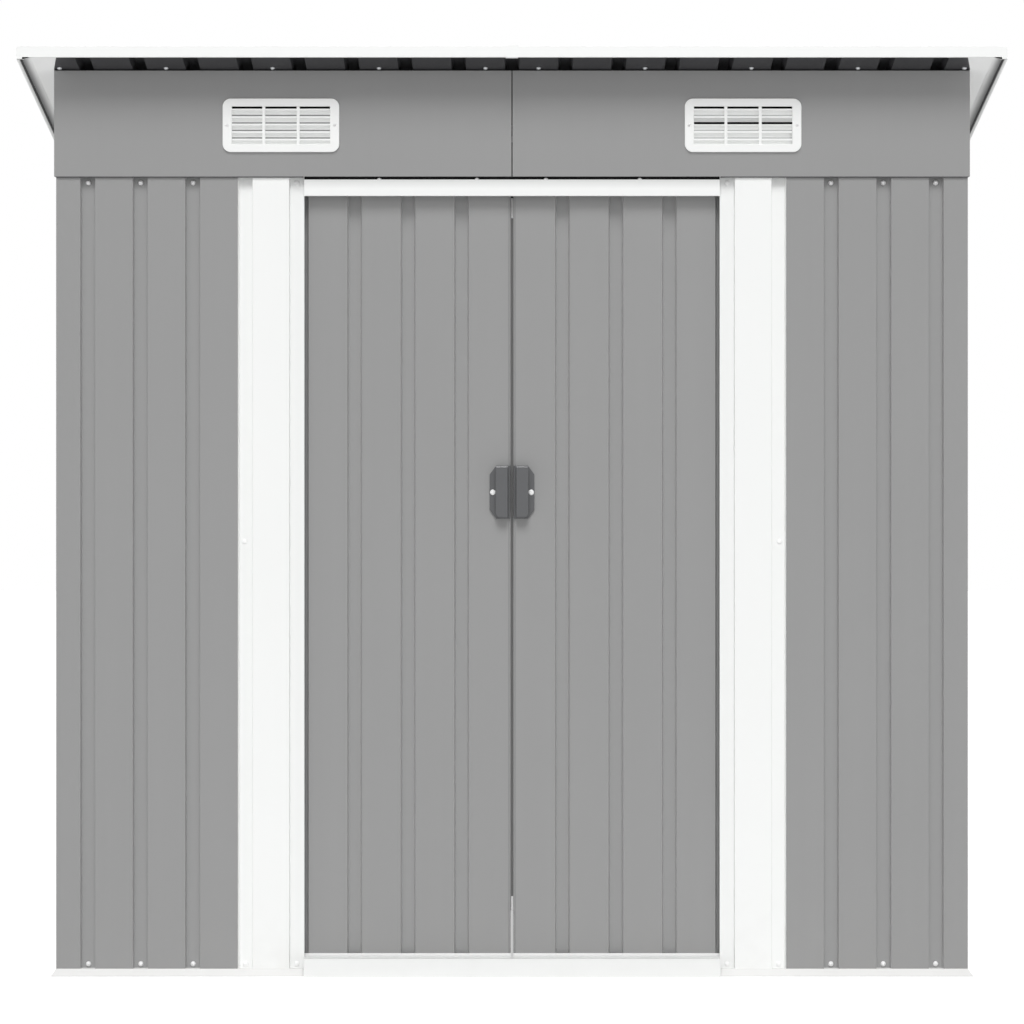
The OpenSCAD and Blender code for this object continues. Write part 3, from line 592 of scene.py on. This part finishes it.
def painted_sheet(name, shade, coat, dust_and_shade=NO_DUST, places=()):
    """Satin baked paint on sheet steel, with painted light and shade laid over it in some places."""
    made, graph, shader = new_material(name)
    skin = paint_skin(graph, shade, coat, PEEL_SCALE)
    colour = graph.group(GROUND_DUST_AND_SHADE, {"Color": skin["Color"], "Amount": dust_and_shade})["Color"]
    for place in places:
        colour = graph.mix(place_mask(graph, place), colour, linear(place.shade))
    graph.feed(shader["Base Color"], colour)
    graph.feed(shader["Roughness"], skin["Roughness"])
    bump = graph.add("ShaderNodeBump", {"Strength": PEEL_STRENGTH, "Distance": PEEL_DEPTH,
                                        "Height": skin["Height"]})
    graph.feed(shader["Normal"], bump.outputs["Normal"])
    shader["Specular IOR Level"].default_value = PAINT_SHINE
    return made


def moulded_plastic(name, shade, rubbed, mould):
    """Moulded plastic with a fine grain and softly rubbed edges."""
    made, graph, shader = new_material(name)
    skin = paint_skin(graph, shade, mould, mould.grain_scale)
    edge = graph.group(EDGE_RUB, {"Color": skin["Color"], "Rubbed": linear(rubbed), "Amount": RUB_AMOUNT})
    graph.feed(shader["Base Color"], edge["Color"])
    graph.feed(shader["Roughness"], skin["Roughness"])
    bump = graph.add("ShaderNodeBump", {"Strength": mould.grain, "Distance": GRAIN_DEPTH,
                                        "Height": skin["Height"], "Normal": edge["Normal"]})
    graph.feed(shader["Normal"], bump.outputs["Normal"])
    shader["Specular IOR Level"].default_value = mould.shine
    return made


def galvanised_steel():
    """Zinc coat with a flake pattern."""
    made, graph, shader = new_material("galvanised_steel")
    flake_scale = 120.0
    darkest = 0.82
    dull, bright = 0.5, 0.36
    bare_metal = 0.85
    flake = graph.add("ShaderNodeTexVoronoi", {"Vector": graph.object_place(), "Scale": flake_scale})
    one = graph.add("ShaderNodeSeparateColor", {0: flake.outputs["Color"]}).outputs[0]
    tone = graph.spread(one, 0.0, 1.0, darkest, 1.0)
    graph.feed(shader["Base Color"], graph.mix(1.0, linear(ZINC), graph.grey(tone), "MULTIPLY"))
    graph.feed(shader["Roughness"], graph.spread(tone, darkest, 1.0, dull, bright))
    shader["Metallic"].default_value = bare_metal
    return made


# Painted light on the sideways flanks of the front sheets' grooves and bends
FLANKS = Place([GROOVE_FLANK], {}, FLANK_PAINTED_LIGHT)
# Painted shade on the doors' rounded meeting edges
BENDS = Place([MEETING_BEND], {}, BEND_PAINTED_SHADE)
# Painted light on the groove floors of the grey front walls and doors
WALL_GROOVES = groove_place("front_wall_left", GROOVE_PAINTED_LIGHT)
DOOR_GROOVES = groove_place("left_door_panel", GROOVE_PAINTED_LIGHT)
# Painted shade on the groove floors of the white jambs
JAMB_GROOVES = groove_place("door_jamb_left", JAMB_GROOVE_PAINTED_SHADE)
# Painted shade on the lap strip in the gap between the doors
STRIP = Place([LAP_STRIP], {}, LAP_PAINTED_SHADE)
# Down-facing faces of the roof sheets: a dark back coat and painted shade
UNDER_ROOF = Place([UNDER_SIDE], {}, BACK_COAT_AND_SHADE)
HEADER_EDGE = Place([HEADER_TOP], {}, HEADER_SHADE)
# Painted shade on the undersides of the roof's side trims
UNDER_TRIM = Place([EAVES, UNDER_SIDE], {}, EAVES_PAINTED_SHADE)

GREY_SHEET = painted_sheet("grey_paint", GREY_PAINT, GREY_COAT, GREY_DUST)
GREY_FRONT = painted_sheet("grey_front_paint_and_painted_light", GREY_PAINT, GREY_COAT, GREY_DUST, [WALL_GROOVES, FLANKS])
GREY_DOOR = painted_sheet("grey_door_paint_and_painted_light_and_shade", GREY_PAINT, GREY_COAT, GREY_DUST, [DOOR_GROOVES, BENDS, FLANKS])
GREY_LAP = painted_sheet("grey_lap_paint_and_painted_light_and_shade", GREY_PAINT, GREY_COAT, GREY_DUST,
                         [DOOR_GROOVES, BENDS, FLANKS, STRIP])
ROOF_SHEET = painted_sheet("roof_paint_and_painted_shade", GREY_PAINT, GREY_COAT, NO_DUST, [UNDER_ROOF])
WHITE_SHEET = painted_sheet("white_paint", WHITE_PAINT, WHITE_COAT, WHITE_DUST_AND_SHADE)
WHITE_JAMB = painted_sheet("jamb_paint_and_painted_shade", WHITE_PAINT, WHITE_COAT, WHITE_DUST_AND_SHADE, [JAMB_GROOVES])
WHITE_HEADER = painted_sheet("header_paint", WHITE_PAINT, WHITE_COAT, NO_DUST, [HEADER_EDGE])
WHITE_BAR = painted_sheet("bar_paint_and_painted_light", BAR_WHITE_PAINTED_LIGHT, BAR_COAT)
WHITE_TRIM = painted_sheet("front_trim_paint_and_painted_shade", TRIM_WHITE_PAINTED_SHADE, WHITE_COAT)
WHITE_EDGE = painted_sheet("edge_trim_paint_and_painted_shade", WHITE_PAINT, WHITE_COAT, NO_DUST, [UNDER_TRIM])
WHITE_SILL = painted_sheet("sill_paint_and_painted_shade", SILL_WHITE_PAINTED_SHADE, WHITE_COAT, SILL_DUST)
WHITE_RAIL = painted_sheet("rail_white_paint", RAIL_WHITE, RAIL_COAT, GREY_DUST)
TRACK_SHADOW_FINISH = painted_sheet("track_painted_shadow", TRACK_SHADOW_BLACK, TRACK_COAT)
VENT_PLASTIC = moulded_plastic("vent_plastic", VENT_WHITE, CAP_WHITE, VENT_MOULD)
SLOT_SHADE_FINISH = moulded_plastic("vent_slot_painted_shade", SLOT_PAINTED_SHADE, SLOT_PAINTED_SHADE, SLOT_MOULD)
SLOT_DARK_SHADE_FINISH = moulded_plastic("vent_slot_dark_painted_shade", SLOT_DARK_PAINTED_SHADE, SLOT_DARK_PAINTED_SHADE, SLOT_MOULD)
SLOT_SHADOW_FINISH = moulded_plastic("vent_slot_shadow_black", SLOT_SHADOW_BLACK, SLOT_SHADOW_BLACK, SLOT_SHADOW_MOULD)
HANDLE_PLASTIC = moulded_plastic("handle_plastic", HANDLE_CHARCOAL, HANDLE_RUBBED, HANDLE_MOULD)
RUNNER_NYLON = moulded_plastic("runner_nylon", NYLON_BLACK, NYLON_RUBBED, NYLON_MOULD)
CAP_PLASTIC = moulded_plastic("screw_cap_plastic", CAP_WHITE, CAP_WHITE, CAP_MOULD)
WASHER_RUBBER = moulded_plastic("washer_grey", WASHER_GREY, WASHER_GREY, WASHER_MOULD)
ROOF_SHADOW_STRIP = moulded_plastic("roof_seal_rubber", EAVES_SHADOW_BLACK, NYLON_BLACK, SHADOW_STRIP_MOULD)
FASCIA_SHADOW_STRIP = moulded_plastic("fascia_shadow_strip_grey", FASCIA_SHADOW_GREY, FASCIA_SHADOW_GREY, SHADOW_STRIP_MOULD)
GALVANISED = galvanised_steel()

SLOT_FINISH = {"grey_sheet": GREY_SHEET, "white_sheet": WHITE_SHEET, "rail_steel": GALVANISED,
               "track_steel": TRACK_SHADOW_FINISH, "vent_moulding": VENT_PLASTIC,
               "handle_moulding": HANDLE_PLASTIC, "runner_nylon": RUNNER_NYLON}
NODE_FINISH = {"base_rail_front": WHITE_RAIL, "base_rail_back": WHITE_RAIL, "base_rail_left": WHITE_RAIL,
               "base_rail_right": WHITE_RAIL, "roof_panel_left": ROOF_SHEET, "roof_panel_middle": ROOF_SHEET,
               "roof_panel_right": ROOF_SHEET, "roof_trim_left": WHITE_EDGE, "roof_trim_right": WHITE_EDGE,
               "roof_trim_front_left": WHITE_TRIM, "roof_trim_front_right": WHITE_TRIM,
               "roof_trim_joint": WHITE_TRIM, "door_sill": WHITE_SILL, "door_header": WHITE_HEADER,
               "door_jamb_left": WHITE_JAMB, "door_jamb_right": WHITE_JAMB, "front_wall_left": GREY_FRONT,
               "front_wall_right": GREY_FRONT, "left_door_panel": GREY_LAP, "right_door_panel": GREY_DOOR,
               "left_door_bars": WHITE_BAR, "right_door_bars": WHITE_BAR}


def finish_nodes():
    """Puts each CAD node's own finish on it."""
    for part in frame["record"]["subparts"]:
        node = NODES[part["node"]]
        finish = NODE_FINISH.get(part["node"], SLOT_FINISH[part["material_slot"]])
        if not node.material_slots:
            node.data.materials.append(finish)
        for holder in node.material_slots:
            holder.material = finish


def round_edges(name, width):
    """Rounds the sharp edges of a moulded node."""
    node = NODES[name]
    node.modifiers.new("join_corners", "WELD").merge_threshold = WELD_DISTANCE
    flats = node.modifiers.new("join_flats", "DECIMATE")
    flats.decimate_type = "DISSOLVE"
    flats.angle_limit = math.radians(FLAT_ANGLE)
    bevel = node.modifiers.new("round_edges", "BEVEL")
    bevel.width = width
    bevel.segments = ROUND_STEPS
    bevel.limit_method = "ANGLE"
    bevel.angle_limit = math.radians(SHARP_ANGLE)


finish_nodes()
for moulding, edge_width in (("left_door_handle", HANDLE_ROUND), ("right_door_handle", HANDLE_ROUND),
                             ("vent_left", VENT_ROUND), ("vent_right", VENT_ROUND)):
    round_edges(moulding, edge_width)


# Turned solids, strips and the pieces made of them

def dome_profile(radius, height, dimple):
    """Half outline of a domed head from its rim to its middle."""
    points = [(radius, 0.0)]
    for i in range(1, HEAD_STEPS):
        turn = math.pi / 2 * i / HEAD_STEPS
        points.append((radius * math.cos(turn), height * math.sin(turn)))
    points.append((dimple, height))
    points.append((dimple * DIMPLE_FLOOR_SHARE, height * DIMPLE_LEVEL_SHARE))
    points.append((0.0, height * DIMPLE_LEVEL_SHARE))
    return points


def lathe(mesh, profile, matrix):
    """Adds a turned solid to a mesh, its axis along the matrix's Z."""
    turns = [2 * math.pi * i / LATHE_SIDES for i in range(LATHE_SIDES)]
    rings = []
    for radius, height in profile:
        if radius == 0.0:
            rings.append([mesh.verts.new(matrix @ Vector((0, 0, height)))])
            continue
        ring = [Vector((radius * math.cos(turn), radius * math.sin(turn), height)) for turn in turns]
        rings.append([mesh.verts.new(matrix @ point) for point in ring])
    mesh.faces.new(list(reversed(rings[0])))
    for low, high in zip(rings, rings[1:]):
        for i in range(LATHE_SIDES):
            j = (i + 1) % LATHE_SIDES
            if len(high) == 1:
                mesh.faces.new((low[i], low[j], high[0]))
            else:
                mesh.faces.new((low[i], low[j], high[j], high[i]))


def rounded_run(mesh, start, end, width, depth):
    """Adds a straight strip with two rounded edges: its flat side along the run, its depth away from it."""
    round_w = width.normalized() * depth.length * STRIP_ROUND_SHARE
    round_d = depth * STRIP_ROUND_SHARE
    half = width / 2
    outline = [-half]
    for side, turns in ((-1, range(ROUND_STEPS + 1)), (1, range(ROUND_STEPS, -1, -1))):
        middle = (half - round_w) * side + depth - round_d
        for turn in turns:
            angle = math.pi / 2 * turn / ROUND_STEPS
            outline.append(middle + round_w * side * math.cos(angle) + round_d * math.sin(angle))
    outline.append(half)
    first = [mesh.verts.new(start + point) for point in outline]
    last = [mesh.verts.new(end + point) for point in outline]
    mesh.faces.new(first)
    mesh.faces.new(list(reversed(last)))
    for i in range(len(outline)):
        j = (i + 1) % len(outline)
        mesh.faces.new((first[j], first[i], last[i], last[j]))
    bmesh.ops.recalc_face_normals(mesh, faces=mesh.faces)


def facing(place, direction):
    """Matrix that stands a turned solid on a place, its axis along a direction."""
    turn = Vector(direction).to_track_quat("Z", "Y").to_matrix().to_4x4()
    return Matrix.Translation(Vector(place)) @ turn


def piece_from(mesh, name, body, finish, smooth=True):
    """Turns a mesh into a piece that rides on a body."""
    data = bpy.data.meshes.new(name)
    mesh.to_mesh(data)
    mesh.free()
    for face in data.polygons:
        face.use_smooth = smooth
    data.materials.append(finish)
    piece = bpy.data.objects.new(name, data)
    bpy.context.scene.collection.objects.link(piece)
    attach(piece, body)
    return piece


def screw_row(name, body, places, direction, radius=HEAD_R, height=HEAD_H, finish=CAP_PLASTIC):
    """One joined piece of domed screw heads that face the same way."""
    mesh = bmesh.new()
    profile = dome_profile(radius, height, HEAD_DIMPLE)
    for place in places:
        lathe(mesh, profile, facing(place, direction))
    return piece_from(mesh, name, body, finish)


def mirrored(values):
    return [s * v for v in values for s in (-1, 1)]


# Places taken from the frame

FRONT = (0, -1, 0)
BACK = (0, 1, 0)
UP = (0, 0, 1)
front_low, front_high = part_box("front_wall_right")
side_low, side_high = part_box("right_wall")
back_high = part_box("back_wall_right")[1]
jamb_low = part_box("door_jamb_right")[0]
fascia_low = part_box("fascia_right")[0]
gable_low, gable_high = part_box("gable_right")
Y_FRONT = front_low.y
Y_BACK = back_high.y
X_SIDE = side_high.x
SCREW_HIGH = front_high.z - SCREW_DROP
SCREW_LOW = front_low.z + SCREW_RISE
JAMB_GROOVE = jamb_low.x + GROOVE_WIDTH / 2
LAP_GROOVE = JAMB_GROOVE + JAMB_PITCH
ROOF_SLOPE = math.atan2(gable_high.z - side_high.z, gable_high.y - gable_low.y)


def roof_place(x, along, up):
    """A place on the roof: metres along the slope from the gable's front, and up from the pans."""
    return Vector((x, gable_low.y + along * math.cos(ROOF_SLOPE) + up * math.sin(ROOF_SLOPE),
                   gable_high.z + ROOF_FIT - along * math.sin(ROOF_SLOPE) + up * math.cos(ROOF_SLOPE)))


def along_roof(y):
    """Metres along the slope from the gable's front to a given Y."""
    return (y - gable_low.y) / math.cos(ROOF_SLOPE)


def roof_normal():
    return roof_place(0, 0, 1) - roof_place(0, 0, 0)


# Screws, nuts and washers

def wall_screws():
    """Heads in the grooves along the top, bottom and middle rails."""
    floor_y = Y_FRONT + GROOVE_DEPTH
    grey = mirrored([LAP_GROOVE + GROOVE_PITCH * i for i in FRONT_GROOVES])
    screw_row("front_foot_screws", "shed", [(x, floor_y, SCREW_LOW) for x in grey], FRONT)
    screw_row("front_head_screws", "shed", [(x, floor_y, SCREW_HIGH) for x in grey], FRONT,
              HEAD_R, HIGH_HEAD_H)
    jamb = [(x, floor_y, SCREW_LOW) for x in mirrored([JAMB_GROOVE, LAP_GROOVE])]
    jamb += [(x, floor_y, SCREW_HIGH) for x in mirrored([JAMB_GROOVE])]
    jamb += [(x, floor_y, JAMB_SCREW_Z) for x in mirrored([LAP_GROOVE + JAMB_SCREW_ASIDE])]
    screw_row("jamb_screws", "shed", jamb, FRONT, HEAD_R, JAMB_HEAD_H)
    levels = (SCREW_LOW, SCREW_MID, SCREW_HIGH)
    middle = (side_low.y + side_high.y) / 2
    rows = [middle + GROOVE_PITCH * (i + 0.5) for i in SIDE_GROOVES]
    for side, name in ((-1, "left_wall_screws"), (1, "right_wall_screws")):
        places = [(side * (X_SIDE - GROOVE_DEPTH), y, z) for y in rows for z in levels]
        screw_row(name, "shed", places, (side, 0, 0))
    back = [(GROOVE_PITCH * i, Y_BACK - GROOVE_DEPTH, z) for i in BACK_GROOVES for z in levels]
    screw_row("back_wall_screws", "shed", back, BACK)


def roof_fixings():
    """Nuts under the front overhang, and washered screws on top of the pans."""
    xs = mirrored([NUT_START + NUT_PITCH * i for i in range(NUT_COUNT)])
    under = [roof_place(x, -NUT_AHEAD, 0.0) for x in xs]
    screw_row("roof_nuts", "shed", under, -roof_normal(), NUT_R, NUT_H, GALVANISED)
    tops = [roof_place(RIB_PITCH * (i + 0.5), along, SHEET_T + ROOF_FIT)
            for i in ROOF_SCREW_PANS for along in ROOF_SCREW_ROWS]
    mesh = bmesh.new()
    washer = [(WASHER_R, 0.0), (WASHER_R, WASHER_RIM_H), (WASHER_TOP_R, WASHER_H), (0.0, WASHER_H)]
    for place in tops:
        lathe(mesh, washer, facing(place, roof_normal()))
    piece_from(mesh, "roof_washers", "shed", WASHER_RUBBER)
    heads = [place + roof_normal() * (WASHER_H - WASHER_OVERLAP) for place in tops]
    screw_row("roof_screws", "shed", heads, roof_normal(), ROOF_HEAD_R, ROOF_HEAD_H, GREY_SHEET)


def header_screws():
    """Heads on top of the header."""
    low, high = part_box("door_header")
    places = [(x, low.y + HEADER_SCREW_IN, high.z) for x in HEADER_SCREW_XS]
    screw_row("header_screws", "shed", places, UP, HEADER_HEAD_R, HEADER_HEAD_H)


def door_screws(side, body):
    """Heads on a door's handle and foot bar."""
    low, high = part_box(body + "_handle")
    outer = low.x if side < 0 else high.x
    middle = (low.z + high.z) / 2
    on_handle = (outer - side * HANDLE_SCREW_IN, high.y - HANDLE_PLATE_T, middle - HANDLE_SCREW_DROP)
    screw_row(body + "_handle_screw", body, [on_handle], FRONT, HANDLE_HEAD_R, HANDLE_HEAD_H)
    on_bar = (side * FOOT_SCREW_X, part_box(body + "_bars")[0].y, FOOT_SCREW_Z)
    screw_row(body + "_foot_screw", body, [on_bar], FRONT, FOOT_HEAD_R, FOOT_HEAD_H)


def vent_screws(vent):
    """Heads at both ends of a vent's bezel."""
    low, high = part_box(vent)
    middle = (low.z + high.z) / 2
    ends = [(x, low.y, middle) for x in (low.x + VENT_SCREW_IN, high.x - VENT_SCREW_IN)]
    screw_row(vent + "_screws", "shed", ends, FRONT, VENT_HEAD_R, VENT_HEAD_H, CAP_PLASTIC)


# Strips that stand in for light and shade: under the trims and the fascia, between the louvres, and at the
# ends of the lap strip

def roof_shadow_strips():
    """Black strips under the hems of the roof's side trims that stand in for the shadow there, and the coves
    that close the slots beside them.
    """
    trim_low, trim_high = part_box("roof_trim_right")
    runs = (along_roof(trim_low.y + EAVES_SHADOW_END_GAP), along_roof(trim_high.y - EAVES_SHADOW_END_GAP))
    shadow_x = ROOF_HALF - (EAVES_SHADOW_OUTER + EAVES_SHADOW_INNER) / 2
    cove_x = ROOF_HALF - (EAVES_SHADOW_INNER + COVE_INNER) / 2
    down = roof_normal() * -1.0
    for side, hand in ((-1, "left"), (1, "right")):
        start, end = [roof_place(side * shadow_x, along, -TRIM_HEM_DEPTH) for along in runs]
        mesh = bmesh.new()
        rounded_run(mesh, start, end, Vector((EAVES_SHADOW_INNER - EAVES_SHADOW_OUTER, 0, 0)), down * EAVES_SHADOW_DEPTH)
        piece_from(mesh, "roof_seal_" + hand, "shed", ROOF_SHADOW_STRIP, False)
        inset = Vector((side * (shadow_x - cove_x), 0, 0)) + down * COVE_RISE / 2
        across = Vector((side * (EAVES_SHADOW_INNER - COVE_INNER), 0, 0)) - down * COVE_RISE
        mesh = bmesh.new()
        rounded_run(mesh, start - inset, end - inset, across, down * -SHEET_T)
        piece_from(mesh, "roof_cove_" + hand, "shed", WHITE_EDGE, False)


def fascia_shadow_strips():
    """Grey strips between the fascia's lower edge and the walls that stand in for the shadow line there."""
    outer = front_high.x - SHEET_T
    inner = jamb_low.x + SHEET_T
    width = Vector((0, Y_FRONT - fascia_low.y - SHEET_T, 0))
    depth = Vector((0, 0, -FASCIA_SHADOW_DEPTH))
    y = (Y_FRONT + fascia_low.y) / 2
    for side, name in ((-1, "fascia_shadow_strip_left"), (1, "fascia_shadow_strip_right")):
        start, end = [Vector((side * x, y, fascia_low.z)) for x in (inner, outer)]
        mesh = bmesh.new()
        rounded_run(mesh, start, end, width, depth)
        piece_from(mesh, name, "shed", FASCIA_SHADOW_STRIP, False)


def louvre_strip(mesh, vent, set_back, foot, head):
    """Adds a level strip to a mesh, in three lengths between a vent's bezel and its mullions."""
    low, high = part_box(vent)
    middle = (low.x + high.x) / 2
    inner = MULLION_AT - MULLION_W / 2
    outer = MULLION_AT + MULLION_W / 2
    columns = ((low.x + BEZEL_SIDE, middle - outer), (middle - inner, middle + inner),
               (middle + outer, high.x - BEZEL_SIDE))
    for column in columns:
        start, end = [Vector((x, low.y + set_back, (foot + head) / 2)) for x in column]
        rounded_run(mesh, start, end, Vector((0, 0, head - foot)), Vector((0, -SHEET_T, 0)))


def vent_slots(vent, fill_finish, open_slot=None):
    """Grey strips between a vent's louvres, whose shade is painted, and black strips that stand in for the
    shadow in the top slot and in an open slot.
    """
    louvre_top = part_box(vent)[1].z - BEZEL_TOP
    fill = bmesh.new()
    mesh = bmesh.new()
    for i in range(BLADE_COUNT):
        blade_top = louvre_top - TOP_SLOT - i * BLADE_PITCH
        if i == 0:
            louvre_strip(mesh, vent, BLADE_SET_BACK, blade_top, louvre_top)
        elif i == open_slot:
            louvre_strip(mesh, vent, BLADE_LIP_SET + SHEET_T / 2, blade_top - SLOT_SHADOW_BELOW, blade_top + SLOT_SHADOW_ABOVE)
        else:
            louvre_strip(fill, vent, BLADE_SET_BACK, blade_top, blade_top + BLADE_FILL)
    piece_from(fill, vent + "_fills", "shed", fill_finish, False)
    piece_from(mesh, vent + "_mesh", "shed", SLOT_SHADOW_FINISH, False)


def lap_strip_light_tips():
    """White pieces at both ends of the lap strip that stand in for light seen through the gap: painted light.
    """
    door_low, door_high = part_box("left_door_panel")
    back = door_low.y + STRIP_SET_BACK + SHEET_T
    foot = door_low.z + STRIP_FOOT
    head = door_high.z - STRIP_HEAD
    spans = ((foot - FOOT_TIP_BELOW, foot + FOOT_TIP_ABOVE), (head - HEAD_TIP_BELOW, head + HEAD_TIP_ABOVE))
    mesh = bmesh.new()
    for span in spans:
        start, end = [Vector((TIP_X, back, z)) for z in span]
        rounded_run(mesh, start, end, Vector((TIP_W, 0, 0)), Vector((0, -SHEET_T - TIP_PROUD, 0)))
    piece_from(mesh, "lap_strip_light_tips", "left_door", CAP_PLASTIC, False)


wall_screws()
roof_fixings()
header_screws()
door_screws(-1, "left_door")
vent_screws("vent_left")
door_screws(1, "right_door")
vent_screws("vent_right")
roof_shadow_strips()
fascia_shadow_strips()
vent_slots("vent_left", SLOT_DARK_SHADE_FINISH)
vent_slots("vent_right", SLOT_SHADE_FINISH, RIGHT_OPEN_SLOT)
lap_strip_light_tips()


# Stage: white floor, surround, lamps and camera

def seen_directly(graph):
    """1 where the camera, a gloss or a clear piece looks at a surface, 0 where light only bounces."""
    ray = graph.add("ShaderNodeLightPath").outputs
    gloss = graph.math("MAXIMUM", ray["Is Glossy Ray"], ray["Is Transmission Ray"])
    return graph.math("MAXIMUM", ray["Is Camera Ray"], gloss)


def white_floor():
    """Floor that bounces little light but looks white, darker only in the shed's shadow."""
    data = bpy.data.meshes.new("floor")
    half = FLOOR_SIZE / 2
    corners = [(-half, -half), (half, -half), (half, half), (-half, half)]
    data.from_pydata([(x, y, -FLOOR_DROP) for x, y in corners], [], [(0, 1, 2, 3)])
    made, graph, shader = new_material("floor_white")
    shader["Base Color"].default_value = linear(FLOOR_GREY)
    shader["Roughness"].default_value = FLOOR_ROUGHNESS
    shader["Specular IOR Level"].default_value = 0.0
    shader["Emission Color"].default_value = WHITE_LIGHT
    graph.feed(shader["Emission Strength"],
               graph.spread(seen_directly(graph), 0.0, 1.0, FLOOR_BOUNCE, FLOOR_GLOW))
    data.materials.append(made)
    floor = bpy.data.objects.new("floor", data)
    bpy.context.scene.collection.objects.link(floor)


def white_surround():
    """Even white light, and plain white where the camera or a gloss sees it."""
    world = bpy.data.worlds.new("surround")
    world.use_nodes = True
    bpy.context.scene.world = world
    graph = Graph(world.node_tree)
    strength = graph.spread(seen_directly(graph), 0.0, 1.0, SURROUND_STRENGTH, 1.0)
    background = world.node_tree.nodes["Background"]
    background.inputs["Color"].default_value = WHITE_LIGHT
    graph.feed(background.inputs["Strength"], strength)


def soft_lamps():
    """A key and three low fills in front, and three lamps behind that leave the front as it is."""
    for name, lamp in LAMPS.items():
        sun = bpy.data.lights.new(name, "SUN")
        sun.energy = lamp.strength
        sun.angle = math.radians(lamp.spread)
        holder = bpy.data.objects.new(name, sun)
        holder.rotation_euler = (math.radians(90.0 - lamp.up), 0.0, math.radians(-lamp.around))
        bpy.context.scene.collection.objects.link(holder)


def front_camera():
    """Camera that looks level at the front."""
    camera = bpy.data.cameras.new("camera")
    camera.sensor_width = SENSOR_MM
    camera.lens = FOCAL_PX / FRAME_PX * SENSOR_MM
    camera.clip_end = CAMERA_REACH
    holder = bpy.data.objects.new("camera", camera)
    holder.location = (0.0, cad_box[0].y - CAMERA_DISTANCE, CAMERA_HEIGHT)
    holder.rotation_euler = (math.radians(90.0), 0.0, 0.0)
    bpy.context.scene.collection.objects.link(holder)
    bpy.context.scene.camera = holder


white_floor()
white_surround()
soft_lamps()
front_camera()
bpy.context.scene.view_settings.view_transform = "Standard"
